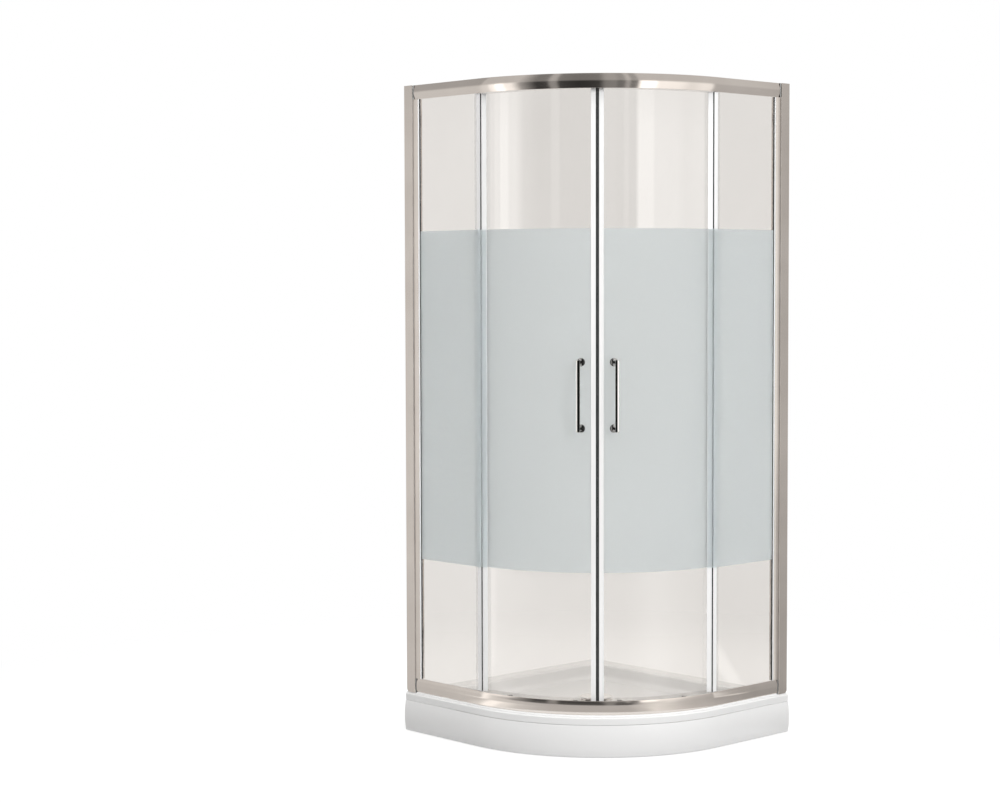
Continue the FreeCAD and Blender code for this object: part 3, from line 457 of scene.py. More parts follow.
def railSection():
    # (inset, level) with level 0 at the open edge
    r = railShape
    face = r["edge"] + r["skin"]
    grooveBack = face + r["groove"]
    dividerBack = grooveBack + r["divider"]
    trackBack = r["back"] - r["innerWall"]
    trackEdge = trackBack - r["trackWidth"]
    web = r["height"] - r["web"]
    shelf = r["trackLevel"] + r["trackMetal"]
    foot = r["height"] - r["dividerDrop"]
    big, small = r["round"], r["smallRound"]
    outer = crownRun(Vector((r["edge"], r["height"])), Vector((r["edge"], 0)), r["crown"])
    corners = [(r["edge"], r["height"], big)]
    corners += [(p.x, p.y, 0) for p in outer]
    corners += [
        (r["edge"], 0, big),
        (face, 0, small),
        (face, web, 0),
        (grooveBack, web, 0),
        (grooveBack, foot, small),
        (dividerBack, foot, small),
        (dividerBack, web, 0),
        (trackBack, web, 0),
        (trackBack, shelf, 0),
        (trackEdge, shelf, small),
        (trackEdge, r["trackLevel"], small),
        (r["back"], r["trackLevel"], big),
        (r["back"], r["height"], big),
    ]
    return roundCorners(corners)


def makeRails():
    openEdges = {"top_rail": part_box("top_rail")[0].z, "bottom_rail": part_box("bottom_rail")[1].z}
    for node, edge in openEdges.items():
        way = 1 if node == "top_rail" else -1
        section = [Vector((p.x, edge + way * p.y)) for p in railSection()]
        bm = sweepFront(section, railShape["reach"])
        addPiece(node + ".shaped", bm, "railMetal", "cabin", [node])


def makeRailPads(hand):
    # black pads in the gap between the rails' ends and the wall profile; their black is painted shade for
    # that gap
    r = padShape
    bm = bmesh.new()
    for node in ("top_rail", "bottom_rail"):
        low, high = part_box(node)
        outline = roundCorners([
            (r["front"], low.z, r["round"]),
            (r["back"], low.z, r["round"]),
            (r["back"], high.z, r["round"]),
            (r["front"], high.z, r["round"]),
        ])
        rings = []
        for along in (railShape["reach"], r["end"]):
            rings.append([(cabin["half"] - p.x, pivot.y + along, p.y) for p in outline])
        loftRings(bm, rings)
    addPiece("rail_gap_shade_pads_" + hand, handed(bm, hand), "blackRubber", "cabin")


def makeBead():
    # sealant between the tray's sill and the foot of the lower rail
    b = beadShape
    edge, deck = railShape["edge"], cabin["deck"]
    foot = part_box("bottom_rail")[0].z
    corners = [
        (edge - b["foot"], deck, 0),
        (edge - b["lap"], foot + b["rise"], b["round"]),
        (edge + b["back"], foot, 0),
        (edge + b["back"], deck, 0),
    ]
    bm = sweepFront(roundCorners(corners), railShape["reach"])
    addPiece("sealant_bead", bm, "sealVinyl", "cabin")


makeRails()
for hand in hands:
    makeRailPads(hand)
makeBead()
print("rails made")


# Tray and apron

trayShape = {
    "rim": 0.005,
    "rimFoot": 0.104,
    "rimTop": 0.127,
    "rimRound": 0.005,
    "sill": 0.011,
    "sillRound": 0.0016,
    "wall": 0.004,
    "basinFront": 0.098,
    "basinBack": 0.070,
    "basinCorner": 0.060,
    "cove": 0.022,
    "lip": 0.008,
    "floor": 0.080,
    "corner": 0.0012,
    "leastCorner": 0.001,
    "smoothAngle": 50,
}
apronShape = {
    "crest": 0.00012,
    "edge": 0.0052,
    "back": 0.010,
    "low": 0.002,
    "high": 0.1028,
    "round": 0.0022,
    "crownSteps": 16,
}


def makeTray(steps=8):
    t = trayShape
    corner, wall, deck = t["corner"], t["wall"], cabin["deck"]
    front, back, basinCorner = t["basinFront"], t["basinBack"], t["basinCorner"]
    bottom = t["floor"] - wall
    levels = []  # inset from the front, inset from the walls, corner radius, height

    def basinRing(inset, z):
        levels.append((front + inset, back + inset, basinCorner - inset, z))

    def basinTurn(grow, z, size, flatFirst):
        # a quarter turn, from flat to upright or back
        for c, s in quarterTurn(steps):
            across, fall = (s, 1 - c) if flatFirst else (1 - c, s)
            shift = size * across
            radius = max(basinCorner + grow - shift, t["leastCorner"])
            levels.append((front - grow + shift, back - grow + shift, radius, z - size * fall))

    basinRing(t["cove"], bottom)
    basinRing(-wall, bottom + t["cove"])
    basinRing(-wall, deck - wall)
    levels.append((t["rim"] + wall, wall, corner, deck - wall))
    levels.append((t["rim"] + wall, wall, corner, t["rimFoot"]))
    ledges = [
        (t["rim"], t["rimFoot"], t["rimTop"], t["rimRound"]),
        (t["sill"], t["rimTop"], deck, t["sillRound"]),
    ]
    for inset, foot, top, edge in ledges:
        levels.append((inset, 0, corner, foot))
        for c, s in quarterTurn(steps):
            levels.append((inset + edge * (1 - c), 0, corner, top - edge + edge * s))
    basinTurn(t["lip"], deck, t["lip"], True)
    basinTurn(0, t["floor"] + t["cove"], t["cove"], False)
    bm = bmesh.new()
    loftRings(bm, [quadrantLoop(*level) for level in levels])
    name = "shower_tray.shaped"
    addPiece(name, bm, "whiteAcrylic", "cabin", ["shower_tray"], t["smoothAngle"])


def makeApron():
    a = apronShape
    upper, lower = Vector((a["edge"], a["high"])), Vector((a["edge"], a["low"]))
    bulge = crownRun(upper, lower, a["edge"] - a["crest"], a["crownSteps"])[1:-1]
    corners = [(a["edge"], a["high"], a["round"])]
    corners += [(p.x, p.y, 0) for p in bulge]
    corners += [
        (a["edge"], a["low"], a["round"]),
        (a["back"], a["low"], 0),
        (a["back"], a["high"], a["round"]),
    ]
    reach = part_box("tray_apron")[1].y - pivot.y
    bm = sweepFront(roundCorners(corners), reach)
    addPiece("tray_apron.shaped", bm, "whiteAcrylic", "cabin", ["tray_apron"])


makeTray()
makeApron()
print("tray made")


# Wall profiles and stiles

profileShape = {
    "front": 0.0102,
    "lining": 0.0134,
    "back": 0.039,
    "face": 0.040,
    "metal": 0.0018,
    "round": 0.0009,
    "thinRound": 0.00054,
    "lip": 0.0006,  # a soft strip that closes the step down to the post
    "lipBack": 0.0135,
    "footRound": 0.012,  # the face's lower corner at the wall
}
stileShape = {
    "front": 0.0136,
    "slope": 0.0018,  # the face falls back towards the pane
    "back": 0.0369,
    "edge": 0.062,
    "tail": 0.010,
    "slotFront": 0.020,
    "slotBack": 0.029,
    "slotDepth": 0.015,
    "round": 0.001,
    "slotRound": 0.0005,
}


def makeProfile(hand, steps=8):
    r = profileShape
    lining, face, foot = r["lining"], r["face"], r["footRound"]
    leg = r["back"] - r["metal"]
    edge, thin = r["round"], r["thinRound"]
    outline = roundCorners([
        (r["front"], face, edge),
        (r["front"], 0, edge),
        (r["back"], 0, edge),
        (r["back"], face, thin),
        (leg, face, thin),
        (leg, r["metal"], 0),
        (lining, r["metal"], 0),
        (lining, face, thin),
    ])

    def lifted(shift):
        return lambda p: sidePoint(p.x, p.y + shift * (1 - p.y / face))

    levels = [(cabin["deck"] + foot * (1 - c), lifted(foot * (1 - s))) for c, s in quarterTurn(steps)]
    levels.append((cabin["top"], lifted(0)))
    node = "wall_profile_" + hand
    bm = handed(upright(outline, levels), hand)
    addPiece(node + ".shaped", bm, "postMetal", "cabin", [node])
    near, end = r["front"] + edge, face + r["lip"]
    corners = [(near, face, 0), (near, end, thin), (r["lipBack"], end, 0), (r["lipBack"], face, 0)]
    low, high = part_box("stile_" + hand)
    bm = handed(plainUpright(corners, low.z, high.z), hand)
    addPiece("profile_lip_" + hand, bm, "greyVinyl", "cabin")


def makeStile(hand):
    r = stileShape
    slotEnd = r["edge"] - r["slotDepth"]
    corners = [
        (r["front"], r["tail"], 0),
        (r["front"], profileShape["face"], 0),
        (r["front"] + r["slope"], r["edge"], r["round"]),
        (r["slotFront"], r["edge"], r["slotRound"]),
        (r["slotFront"], slotEnd, 0),
        (r["slotBack"], slotEnd, 0),
        (r["slotBack"], r["edge"], r["slotRound"]),
        (r["back"], r["edge"], r["round"]),
        (r["back"], r["tail"], 0),
    ]
    node = "stile_" + hand
    low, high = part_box(node)
    bm = handed(plainUpright(corners, low.z, high.z), hand)
    addPiece(node + ".shaped", bm, "postMetal", "cabin", [node])


for hand in hands:
    makeProfile(hand)
    makeStile(hand)
print("profiles and stiles made")


# Door panes, and the frosted band on the outer faces

doorPane = {"inner": 0.5035, "outer": 0.5085, "start": -44.2, "end": 3.0, "round": 0.0008}
fixedPane = {"front": 0.022, "back": 0.027, "start": 0.049, "end": 0.348, "round": 0.0008}
frostBand = {
    "low": 0.578,
    "high": 1.654,
    "film": 0.00012,
    "lift": 0.00004,
    "doorStart": -42.9,  # degrees from the end of the curve, clear of the seals
    "doorEnd": 1.6,
    "paneStart": 0.0656,
    "paneEnd": 0.3478,
}


def sheetSection(near, far, low, high, rim):
    # a sheet's upright section, with its upper and lower edges rounded
    return roundCorners([(near, low, rim), (far, low, rim), (far, high, rim), (near, high, rim)], 3)


def curvedSheet(inner, outer, start, end, low, high, rim, steps=60):
    # bent round the pivot
    section = sheetSection(inner, outer, low, high, rim)
    bm = bmesh.new()
    rings = []
    for n in range(steps + 1):
        a = math.radians(start + (end - start) * n / steps)
        way = Vector((math.cos(a), math.sin(a)))
        rings.append([(*(pivot + way * p.x), p.y) for p in section])
    loftRings(bm, rings)
    return bm


def flatSheet(near, far, start, end, low, high, rim):
    section = sheetSection(near, far, low, high, rim)
    bm = bmesh.new()
    loftRings(bm, [[(*sidePoint(p.x, along), p.y) for p in section] for along in (start, end)])
    return bm


def letLightIn(pane):
    # light on the pieces behind a clear pane isn't held back by it
    pane.visible_shadow = False
    pane.visible_diffuse = False


def makeDoorPane(hand):
    d, f = doorPane, frostBand
    node, body = "door_glass_" + hand, "door_" + hand
    low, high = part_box(node)
    bm = curvedSheet(d["inner"], d["outer"], d["start"], d["end"], low.z, high.z, d["round"])
    bm = handed(bm, hand)
    letLightIn(addPiece(node + ".shaped", bm, "clearGlass", body, [node]))
    inner = d["outer"] + f["lift"]
    outer = inner + f["film"]
    bm = curvedSheet(inner, outer, f["doorStart"], f["doorEnd"], f["low"], f["high"], 0)
    addPiece("frost_door_" + hand, handed(bm, hand), "frostFilm", body)


def makeFixedPane(hand):
    p, f = fixedPane, frostBand
    node = "fixed_glass_" + hand
    low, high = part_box(node)
    bm = flatSheet(p["front"], p["back"], p["start"], p["end"], low.z, high.z, p["round"])
    bm = handed(bm, hand)
    letLightIn(addPiece(node + ".shaped", bm, "clearGlass", "cabin", [node]))
    inner = p["front"] - f["lift"]
    outer = inner - f["film"]
    bm = flatSheet(inner, outer, f["paneStart"], f["paneEnd"], f["low"], f["high"], 0)
    addPiece("frost_pane_" + hand, handed(bm, hand), "frostFilm", "cabin")


for hand in hands:
    makeDoorPane(hand)
    makeFixedPane(hand)
print("panes and frosted band made")


# Seals on the free edges of the fixed panes, and the lips between panes and posts

sealShape = {
    "front": 0.0206,
    "back": 0.0285,
    "grip": 0.340,
    "backGrip": 0.3455,
    "paneFront": 0.0218,
    "paneBack": 0.0271,
    "paneEnd": 0.3481,
    "nose": 0.3565,
    "finRoot": 0.0262,
    "finTip": 0.0341,
    "finEnd": 0.3705,
    "finWall": 0.0012,
    # width of the black strip at the nose that paints the shade of the gap
    "line": 0.0003,
    "filmGap": 0.0001,
    "round": 0.0005,
    "smallRound": 0.00025,
}
lipShape = {
    "front": 0.0158,
    "back": 0.0198,
    "start": 0.0621,
    "end": 0.0637,
    "flat": 0.0005,
    "round": 0.00025,
}


def filmOver(run, gap, film):
    # outline of a film that lies on an open run of points
    near, far = [], []
    for n, point in enumerate(run):
        along = (run[min(n + 1, len(run) - 1)] - run[max(n - 1, 0)]).normalized()
        side = Vector((-along.y, along.x))
        near.append(point + side * gap)
        far.append(point + side * (gap + film))
    return near + far[::-1]


def makeFixedSeal(hand):
    s, f = sealShape, frostBand
    node = "fixed_seal_" + hand
    low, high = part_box(node)
    edge, small = s["round"], s["smallRound"]
    corners = [
        (s["front"], s["grip"], edge),
        (s["front"], s["nose"], edge),
        (s["finRoot"], s["nose"], 0),
        (s["finTip"], s["finEnd"], small),
        (s["finTip"] + s["finWall"], s["finEnd"], small),
        (s["back"], s["nose"], 0),
        (s["back"], s["backGrip"], edge),
        (s["paneBack"], s["backGrip"], 0),
        (s["paneBack"], s["paneEnd"], 0),
        (s["paneFront"], s["paneEnd"], 0),
        (s["paneFront"], s["grip"], 0),
    ]
    bm = handed(plainUpright(corners, low.z, high.z), hand)
    addPiece(node + ".shaped", bm, "sealVinyl", "cabin", [node])
    # a black strip along the seal's nose: painted shade, standing in for the dark gap line there
    near, end = s["front"] + edge, s["nose"] + s["line"]
    corners = [(near, s["nose"], 0), (near, end, 0), (s["finRoot"], end, 0), (s["finRoot"], s["nose"], 0)]
    bm = handed(plainUpright(corners, low.z, high.z), hand)
    addPiece("seal_shade_line_" + hand, bm, "blackRubber", "cabin")
    run = [
        Vector((s["front"], s["grip"] + edge)),
        Vector((s["front"], end)),
        Vector((s["finRoot"] - edge, end)),
        Vector((s["finTip"] - edge, s["finEnd"] - edge)),
    ]
    corners = [(p.x, p.y, 0) for p in filmOver(run, s["filmGap"], f["film"])]
    bm = handed(plainUpright(corners, f["low"], f["high"]), hand)
    addPiece("frost_seal_" + hand, bm, "frostFilm", "cabin")


def makePaneLip(hand):
    r = lipShape
    low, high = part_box("stile_" + hand)
    corners = [
        (r["front"], r["start"], 0),
        (r["back"] - r["flat"], r["end"], r["round"]),
        (r["back"], r["end"], 0),
        (r["back"], r["start"], 0),
    ]
    bm = handed(plainUpright(corners, low.z, high.z), hand)
    addPiece("pane_bead_" + hand, bm, "sealVinyl", "cabin")


for hand in hands:
    makeFixedSeal(hand)
    makePaneLip(hand)
print("seals made")


# Meeting edges of the doors: lengths along the pane from the middle line, and radii

meetShape = {
    "middle": -45,  # degrees
    "magnetStart": 0.00006,
    "magnetEnd": 0.0050,
    "magnetIn": 0.5025,
    "magnetOut": 0.5095,
    "sealIn": 0.5020,
    "sealOut": 0.5100,
    "sealEnd": 0.0200,
    "paneStart": 0.0071,
    "paneIn": 0.5034,
    "paneOut": 0.5086,
    "lip": 0.0007,
    "lipWidth": 0.0022,
    "round": 0.0003,
}


def meetPlace(p):
    a = math.radians(meetShape["middle"]) + p.x / doorPane["outer"]
    return pivot + Vector((math.cos(a), math.sin(a))) * p.y


def makeMeeting(hand):
    m = meetShape
    edge = m["round"]
    magnet = [
        (m["magnetStart"], m["magnetIn"], edge),
        (m["magnetEnd"], m["magnetIn"], edge),
        (m["magnetEnd"], m["magnetOut"], edge),
        (m["magnetStart"], m["magnetOut"], edge),
    ]
    lipStart = m["sealEnd"] - m["lipWidth"]
    seal = [
        (m["magnetEnd"], m["sealIn"], edge),
        (m["sealEnd"], m["sealIn"], edge),
        (m["sealEnd"], m["paneIn"], 0),
        (m["paneStart"], m["paneIn"], 0),
        (m["paneStart"], m["paneOut"], 0),
        (m["sealEnd"], m["paneOut"], 0),
        (m["sealEnd"], m["sealOut"] + m["lip"], edge),
        (lipStart, m["sealOut"] + m["lip"], edge),
        (lipStart - m["lip"], m["sealOut"], edge),
        (m["magnetEnd"], m["sealOut"], edge),
    ]
    strips = [
        ("magnet_strip_" + hand, magnet, "blackRubber", "black_rubber"),
        ("magnetic_seal_" + hand, seal, "sealVinyl", "white_seal"),
    ]
    for node, corners, finishName, slot in strips:
        low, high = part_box(node)
        bm = handed(plainUpright(corners, low.z, high.z, meetPlace), hand)
        addPiece(node + ".shaped", bm, finishName, "door_" + hand, [node])


for hand in hands:
    makeMeeting(hand)
print("meeting edges made")


# Handles

handleShape = {
    "angle": -39.14,
    "barReach": 0.5585,
    "barShift": 0.004,
    "barRadius": 0.0065,
    "barLow": 1.0215,
    "barHigh": 1.2475,
    "postRadius": 0.005,
    "postFoot": 0.0025,  # inside the disc
    "postSink": 0.0026,  # the post ends this far from the bar's axis
    "postSides": 32,
    "posts": (1.031, 1.238),
    "pane": 0.5085,
    "discRadius": 0.0140,
    "discHeight": 0.005,
    "discBore": 0.0052,
    "discGap": 0.0001,
    "discSide": 0.0005,
    "edge": 0.0028,
    "chamfer": 0.0004,
    "nutRadius": 0.011,
    "nutSide": 0.0028,
    "nutHeight": 0.006,
    "nutGap": 0.0002,
    "nutTip": 0.00022,
    "smoothAngle": 60,
}


def discSection(steps=8):
    # half section of the disc on the pane's outer face
    h = handleShape
    radius, edge, gap = h["discRadius"], h["edge"], h["discGap"]
    profile = [(h["discBore"], gap), (radius - h["chamfer"], gap), (radius, gap + h["discSide"])]
    for c, s in quarterTurn(steps):
        profile.append((radius - edge + edge * c, h["discHeight"] - edge + edge * s))
    profile.append((h["discBore"], h["discHeight"]))
    return profile


def nutSection(steps=8):
    # half section of a cap nut: a short straight side under a dome
    h = handleShape
    radius, side, tip = h["nutRadius"], h["nutSide"], h["nutTip"]
    profile = [(radius - h["chamfer"], 0), (radius, h["chamfer"])]
    for c, s in quarterTurn(steps):
        profile.append((tip + (radius - tip) * c, side + (h["nutHeight"] - side) * s))
    return profile


def makeHandle(hand):
    h = handleShape
    a = math.radians(h["angle"])
    way = Vector((math.cos(a), math.sin(a), 0))
    side = Vector((-math.sin(a), math.cos(a), 0))
    bar = pivotFoot + way * h["barReach"] + side * h["barShift"]
    grip, discs, nuts = bmesh.new(), bmesh.new(), bmesh.new()
    lathe(grip, domedRod(h["barRadius"], h["barLow"], h["barHigh"], h["edge"]), bar, upwards)
    for z in h["posts"]:
        level = Vector((0, 0, z))
        foot = pivotFoot + way * h["pane"] + level
        lean = (bar + level) - foot
        post = domedRod(h["postRadius"], h["postFoot"], lean.length - h["postSink"], h["chamfer"])
        lathe(grip, post, foot, lean, h["postSides"])
        lathe(discs, discSection(), foot, way)
        face = pivotFoot + way * (doorPane["inner"] - h["nutGap"]) + level
        lathe(nuts, nutSection(), face, -way)
    made = {"handle_": grip, "handle_rosettes_": discs, "handle_nuts_": nuts}
    for start, bm in made.items():
        node = start + hand
        name, body = node + ".shaped", "door_" + hand
        addPiece(name, handed(bm, hand), "chromePlate", body, [node], h["smoothAngle"])


for hand in hands:
    makeHandle(hand)
print("handles made")


# Waste cover and door wheels

coverShape = {
    "radius": 0.055,
    "foot": 0.088,
    "top": 0.092,
    "round": 0.0015,
    "chamfer": 0.0004,
    "crown": 0.0008,
    "crownSpan": 0.99,  # the crown stops just short of the axis
    "sides": 96,
    "legFoot": 0.083,
    "legRadius": 0.003,
    "legRound": 0.0003,
    "legCircle": 0.049,
    "legSides": 24,
    "legs": 3,
}
wheelShape = {
    "radius": 0.0085,
    "half": 0.0025,
    "round": 0.0008,
    "smallRound": 0.0002,
    "bore": 0.00255,
    "hub": 0.0042,
    "rim": 0.0068,
    "recess": 0.0006,
}


def makeCover(steps=8):
    c = coverShape
    flat = c["radius"] - c["round"]
    shoulder = c["top"] - c["crown"] - c["round"]
    profile = [(c["radius"] - c["chamfer"], c["foot"]), (c["radius"], c["foot"] + c["chamfer"])]
    for across, rise in quarterTurn(steps):
        profile.append((flat + c["round"] * across, shoulder + c["round"] * rise))
    for n in range(1, steps + 1):
        t = 1 - c["crownSpan"] * n / steps
        profile.append((flat * t, c["top"] - c["crown"] * t * t))
    bm = bmesh.new()
    lathe(bm, profile, pivotFoot, upwards, c["sides"])
    rod = domedRod(c["legRadius"], c["legFoot"], c["foot"], c["legRound"])
    for n in range(c["legs"]):
        a = 2 * math.pi * n / c["legs"]
        leg = pivotFoot + Vector((math.cos(a), math.sin(a), 0)) * c["legCircle"]
        lathe(bm, rod, leg, upwards, c["legSides"])
    addPiece("waste_cover.shaped", bm, "chromePlate", "cabin", ["waste_cover"])


def makeWheel(node):
    # a moulded tyre with a shallow ring sunk into each side
    w = wheelShape
    face, sunk = w["half"], w["half"] - w["recess"]
    half = [
        (w["bore"], face, 0),
        (w["hub"], face, w["smallRound"]),
        (w["hub"], sunk, 0),
        (w["rim"], sunk, 0),
        (w["rim"], face, w["smallRound"]),
        (w["radius"], face, w["round"]),
    ]
    corners = half + [(radius, -along, edge) for radius, along, edge in reversed(half)]
    low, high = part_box(node)
    centre = (low + high) / 2
    axis = Vector((centre.x - pivot.x, centre.y - pivot.y, 0))
    bm = bmesh.new()
    lathe(bm, [(p.x, p.y) for p in roundCorners(corners)], centre, axis, closed=True)
    addPiece(node + ".shaped", bm, "nylon", node + "_body", [node])


makeCover()
for node in sorted(nodes):
    if node.startswith("wheel_"):
        makeWheel(node)
print("cover and wheels made")


# Camera, floor, walls of the studio and lamps

view = {
    "place": (4.878, -4.974, 1.480),
    "aim": (-0.165, -0.279, 1.1015),
    "lens": 76.3,
    "sensor": 36.0,
    "roll": -0.15,
    "farClip": 200.0,
}


def facing(place, aim):
    turn = (Vector(aim) - Vector(place)).to_track_quat("-Z", "Y")
    return Matrix.Translation(place) @ turn.to_matrix().to_4x4()


def makeCamera():
    lens = bpy.data.cameras.new("camera")
    lens.lens = view["lens"]
    lens.sensor_width = view["sensor"]
    lens.sensor_fit = "HORIZONTAL"
    lens.clip_end = view["farClip"]
    camera = bpy.data.objects.new("camera", lens)
    bpy.context.scene.collection.objects.link(camera)
    roll = Matrix.Rotation(math.radians(view["roll"]), 4, "Z")
    camera.matrix_world = facing(view["place"], view["aim"]) @ roll
    bpy.context.scene.camera = camera


def seenRays(tree):
    # 1 for camera, glossy and transmitted rays, 0 for light that falls on the object
    path = addNode(tree, "ShaderNodeLightPath")
    first = addNode(tree, "ShaderNodeMath", operation="MAXIMUM")
    second = addNode(tree, "ShaderNodeMath", operation="MAXIMUM")
    tree.links.new(path.outputs["Is Camera Ray"], first.inputs[0])
    tree.links.new(path.outputs["Is Glossy Ray"], first.inputs[1])
    tree.links.new(first.outputs[0], second.inputs[0])
    tree.links.new(path.outputs["Is Transmission Ray"], second.inputs[1])
    return second.outputs[0]


studio = {
    "skyLight": 0.56,
    "skyColor": (1.0, 0.99, 0.975),
    "floorColor": (0.42, 0.42, 0.42),
    "floorRough": 0.9,
    "floorGloss": 0.1,
    "floorNear": 1.3,
    "floorFar": 2.6,
    "floorSize": 60.0,
    "floorSides": 64,
    "floorGlow": 0.62,
}
white = (1, 1, 1, 1)


def makeWorld():
    world = bpy.data.worlds.new("studioWorld")
    bpy.context.scene.world = world
    world.use_nodes = True
    tree = world.node_tree
    light = tree.nodes["Background"]
    light.inputs["Color"].default_value = (*studio["skyColor"], 1)
    light.inputs["Strength"].default_value = studio["skyLight"]
    seen = addNode(tree, "ShaderNodeBackground")
    seen.inputs["Color"].default_value = white
    seen.inputs["Strength"].default_value = 1.0
    mix = addNode(tree, "ShaderNodeMixShader")
    tree.links.new(seenRays(tree), mix.inputs["Fac"])
    tree.links.new(light.outputs[0], mix.inputs[1])
    tree.links.new(seen.outputs[0], mix.inputs[2])
    tree.links.new(mix.outputs[0], tree.nodes["World Output"].inputs["Surface"])


def makeFloor():
    # the floor fades to white away from the object, and keeps its shadow close by
    finish, tree, shader = newFinish("studioFloor")
    shader.inputs["Roughness"].default_value = studio["floorRough"]
    shader.inputs["Specular IOR Level"].default_value = studio["floorGloss"]
    shader.inputs["Base Color"].default_value = (*studio["floorColor"], 1)
    shader.inputs["Emission Color"].default_value = white
    place = addNode(tree, "ShaderNodeTexCoord")
    length = addNode(tree, "ShaderNodeVectorMath", operation="LENGTH")
    fade = addNode(tree, "ShaderNodeMapRange", interpolation_type="SMOOTHSTEP")
    fade.inputs["From Min"].default_value = studio["floorNear"]
    fade.inputs["From Max"].default_value = studio["floorFar"]
    share = addNode(tree, "ShaderNodeMath", operation="MULTIPLY")
    lift = addNode(tree, "ShaderNodeMath", operation="MULTIPLY")
    lift.inputs[1].default_value = studio["floorGlow"]
    glow = addNode(tree, "ShaderNodeEmission")
    mix = addNode(tree, "ShaderNodeMixShader")
    seen = seenRays(tree)
    tree.links.new(place.outputs["Object"], length.inputs[0])
    tree.links.new(length.outputs["Value"], fade.inputs["Value"])
    tree.links.new(fade.outputs["Result"], share.inputs[0])
    tree.links.new(seen, share.inputs[1])
    tree.links.new(seen, lift.inputs[0])
    tree.links.new(lift.outputs[0], shader.inputs["Emission Strength"])
    tree.links.new(share.outputs[0], mix.inputs["Fac"])
    tree.links.new(shader.outputs[0], mix.inputs[1])
    tree.links.new(glow.outputs[0], mix.inputs[2])
    tree.links.new(mix.outputs[0], tree.nodes["Material Output"].inputs["Surface"])
    bm = bmesh.new()
    sides, size = studio["floorSides"], studio["floorSize"]
    bmesh.ops.create_circle(bm, cap_ends=True, segments=sides, radius=size)
    addObject("studioFloor", bm, finish)


# What the metal mirrors: degrees round from the camera, to the right, and brightness there
mirrorTones = {
    "wall": [
        (-180, 1.25), (-104, 1.25), (-98, 0.75), (-90, 0.80), (-86, 0.95), (-80.5, 1.0), (-79, 1.42),
        (-75, 1.45), (-74, 2.0), (-68, 2.0), (-66.5, 1.42), (-61, 1.40), (-54, 0.45), (-46, 0.16),
        (-42, 0.05), (-34, 0.07), (-32, 0.38), (-27.5, 0.40), (-26, 0.07), (-12, 0.04), (2, 0.06),
        (6, 0.28), (13, 0.30), (15, 0.20), (19, 0.22), (20.5, 0.50), (22.5, 0.50), (24, 0.22), (28, 0.25),
        (30, 1.45), (31, 2.0), (41, 2.0), (43, 1.42), (60, 1.36), (68, 1.1), (79, 1.2), (87, 1.2),
        (89.5, 0.62), (98, 0.56), (104, 1.25), (180, 1.25),
    ],
    "low": [
        (-180, 1.0), (-145, 0.9), (-95, 0.78), (-83.6, 0.84), (-82.4, 1.42), (-79, 1.40), (-74, 0.95),
        (-64, 0.70), (-58, 0.38), (-42, 0.12), (-34, 0.14), (-32, 0.30), (-27, 0.32), (-25, 0.12),
        (4, 0.10), (7, 0.30), (11, 0.30), (13, 0.12), (22, 0.12), (32, 0.85), (50, 1.05), (60, 0.80),
        (66, 0.72), (74, 0.64), (85, 0.56), (86, 1.1), (87, 1.1), (88, 0.50), (145, 0.85), (180, 1.0),
    ],
    "floor": [
        (-180, 0.9), (-95, 0.72), (-83.6, 0.78), (-82.4, 1.38), (-79, 1.36), (-74, 0.95), (-60, 0.80),
        (-40, 0.64), (0, 0.60), (20, 0.64), (32, 0.88), (40, 1.04), (50, 0.92), (56, 0.78), (66, 0.68),
        (76, 0.60), (85, 0.52), (86, 1.1), (87, 1.1), (88, 0.48), (145, 0.7), (180, 0.9),
    ],
    "near": [
        (-180, 0.9), (-120, 0.66), (-95, 0.70), (-78, 0.74), (-73, 1.0), (-69, 1.45), (-63, 1.45),
        (-59, 1.15), (-55, 1.05), (-50, 0.88), (-45, 0.78), (-35, 0.66), (0, 0.60), (20, 0.64), (28, 0.80),
        (34, 1.05), (39, 1.0), (49, 0.85), (60, 0.68), (71, 0.62), (83, 0.50), (88, 0.45), (100, 0.45),
        (145, 0.7), (180, 0.9),
    ],
}
# above the wall: its tone lifted by gain, up to a limit that is lower on the far left
upperTone = {"gain": 0.2, "most": 0.72, "leftMost": 0.50, "leftEnd": -86}
# strips of cloth: radius, height and tone
mirrorStrips = [
    [(0.62, 0.012, "near"), (1.2, 0.012, "near"), (1.5, 0.012, "floor"), (2.5, 0.012, "floor"),
     (2.5, 0.26, "floor"), (2.5, 0.32, "low"), (2.5, 0.50, "low"), (2.5, 0.85, "wall")],
    [(2.6, 0.012, "wall"), (9.0, 0.012, "wall"), (9.0, 2.6, "wall"), (9.0, 3.4, "upper"),
     (9.0, 9.0, "upper")],
]
mirrorCloth = {"facing": -45, "green": 0.98, "blue": 0.955}  # the camera's side, and a warm tint


def toneAt(name, angle):
    if name == "upper":
        u = upperTone
        most = u["leftMost"] if angle < u["leftEnd"] else u["most"]
        return min(toneAt("wall", angle) + u["gain"], most)
    table = mirrorTones[name]
    for (a, low), (b, high) in zip(table, table[1:]):
        if a <= angle <= b:
            return low + (high - low) * (angle - a) / (b - a)


def reflectOnly(item):
    item.visible_camera = False
    item.visible_diffuse = False
    item.visible_transmission = False
    item.visible_shadow = False
    item.visible_volume_scatter = False


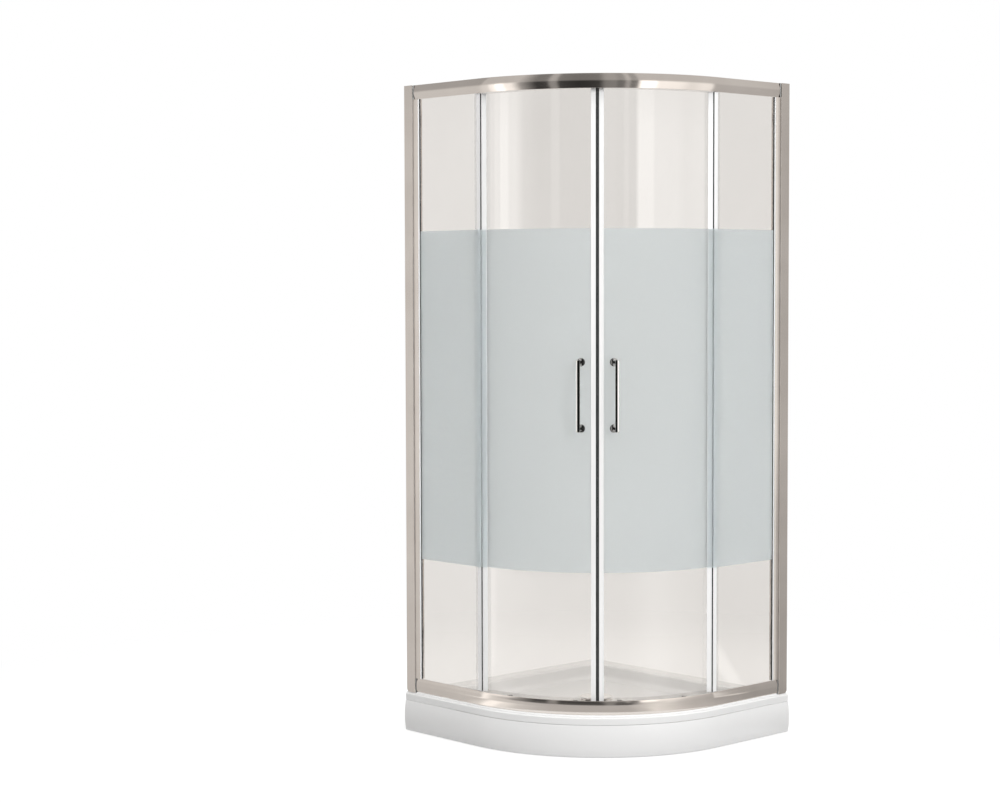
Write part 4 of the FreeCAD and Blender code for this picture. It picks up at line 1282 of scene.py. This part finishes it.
def makeMirrorWall(steps=360):
    # soft boxes and dark cloth round the studio, seen only in reflections
    m = mirrorCloth
    finish, tree, shader = newFinish("mirrorWall")
    tree.nodes.remove(shader)
    tone = addNode(tree, "ShaderNodeVertexColor", layer_name="tone")
    glow = addNode(tree, "ShaderNodeEmission")
    tree.links.new(tone.outputs["Color"], glow.inputs["Color"])
    tree.links.new(glow.outputs[0], tree.nodes["Material Output"].inputs["Surface"])
    bm = bmesh.new()
    layer = bm.verts.layers.float_color.new("tone")
    for strip in mirrorStrips:
        columns = []
        for n in range(steps):
            angle = -180 + 360 * n / steps
            way = math.radians(angle + m["facing"])
            column = []
            for radius, height, name in strip:
                bright = toneAt(name, angle)
                vert = bm.verts.new((radius * math.cos(way), radius * math.sin(way), height))
                vert[layer] = (bright, bright * m["green"], bright * m["blue"], 1)
                column.append(vert)
            columns.append(column)
        for one, two in zip(columns, columns[1:] + columns[:1]):
            for k in range(len(strip) - 1):
                bm.faces.new((one[k], two[k], two[k + 1], one[k + 1]))
    reflectOnly(addObject("mirrorWall", bm, finish))


darkCard = {"near": 0.516, "far": 3.2, "low": 0.64, "high": 1.60, "tone": 0.015}


def makeDarkCard():
    # stands edge on to the camera before the meeting doors, so the bars of the handles mirror it
    d = darkCard
    finish, _, shader = newFinish("darkCard")
    shader.inputs["Base Color"].default_value = (d["tone"], d["tone"], d["tone"], 1)
    shader.inputs["Roughness"].default_value = 1.0
    shader.inputs["Specular IOR Level"].default_value = 0.0
    bm = bmesh.new()
    corners = [(d["near"], d["low"]), (d["far"], d["low"]), (d["far"], d["high"]), (d["near"], d["high"])]
    way = Vector((1, -1)).normalized()
    bm.faces.new([bm.verts.new((*(pivot + way * reach), z)) for reach, z in corners])
    reflectOnly(addObject("darkCard", bm, finish))


lamps = {
    "overhead": {"place": (0.6, -0.6, 5.2), "aim": (0.0, 0.0, 0.8), "size": 3.5, "power": 125.0},
    "frontLeft": {"place": (-0.6, -5.0, 3.2), "aim": (0.0, -0.2, 0.9), "size": 2.5, "power": 10.0},
    "rear": {"place": (-3.2, 3.2, 3.4), "aim": (0.0, 0.0, 0.6), "size": 2.5, "power": 52.0},
    "frontRight": {"place": (4.9, -1.8, 3.0), "aim": (0.1, 0.0, 0.9), "size": 2.5, "power": 140.0},
}


def makeLamps():
    for name, values in lamps.items():
        lamp = bpy.data.lights.new(name, "AREA")
        lamp.shape = "SQUARE"
        lamp.size = values["size"]
        lamp.energy = values["power"]
        lit = bpy.data.objects.new(name, lamp)
        bpy.context.scene.collection.objects.link(lit)
        lit.matrix_world = facing(values["place"], values["aim"])
        lit.visible_glossy = False
        lit.visible_transmission = False


makeCamera()
makeWorld()
makeFloor()
makeMirrorWall()
makeDarkCard()
makeLamps()
bpy.context.scene.view_settings.view_transform = "Standard"
print("camera, studio and lamps set")
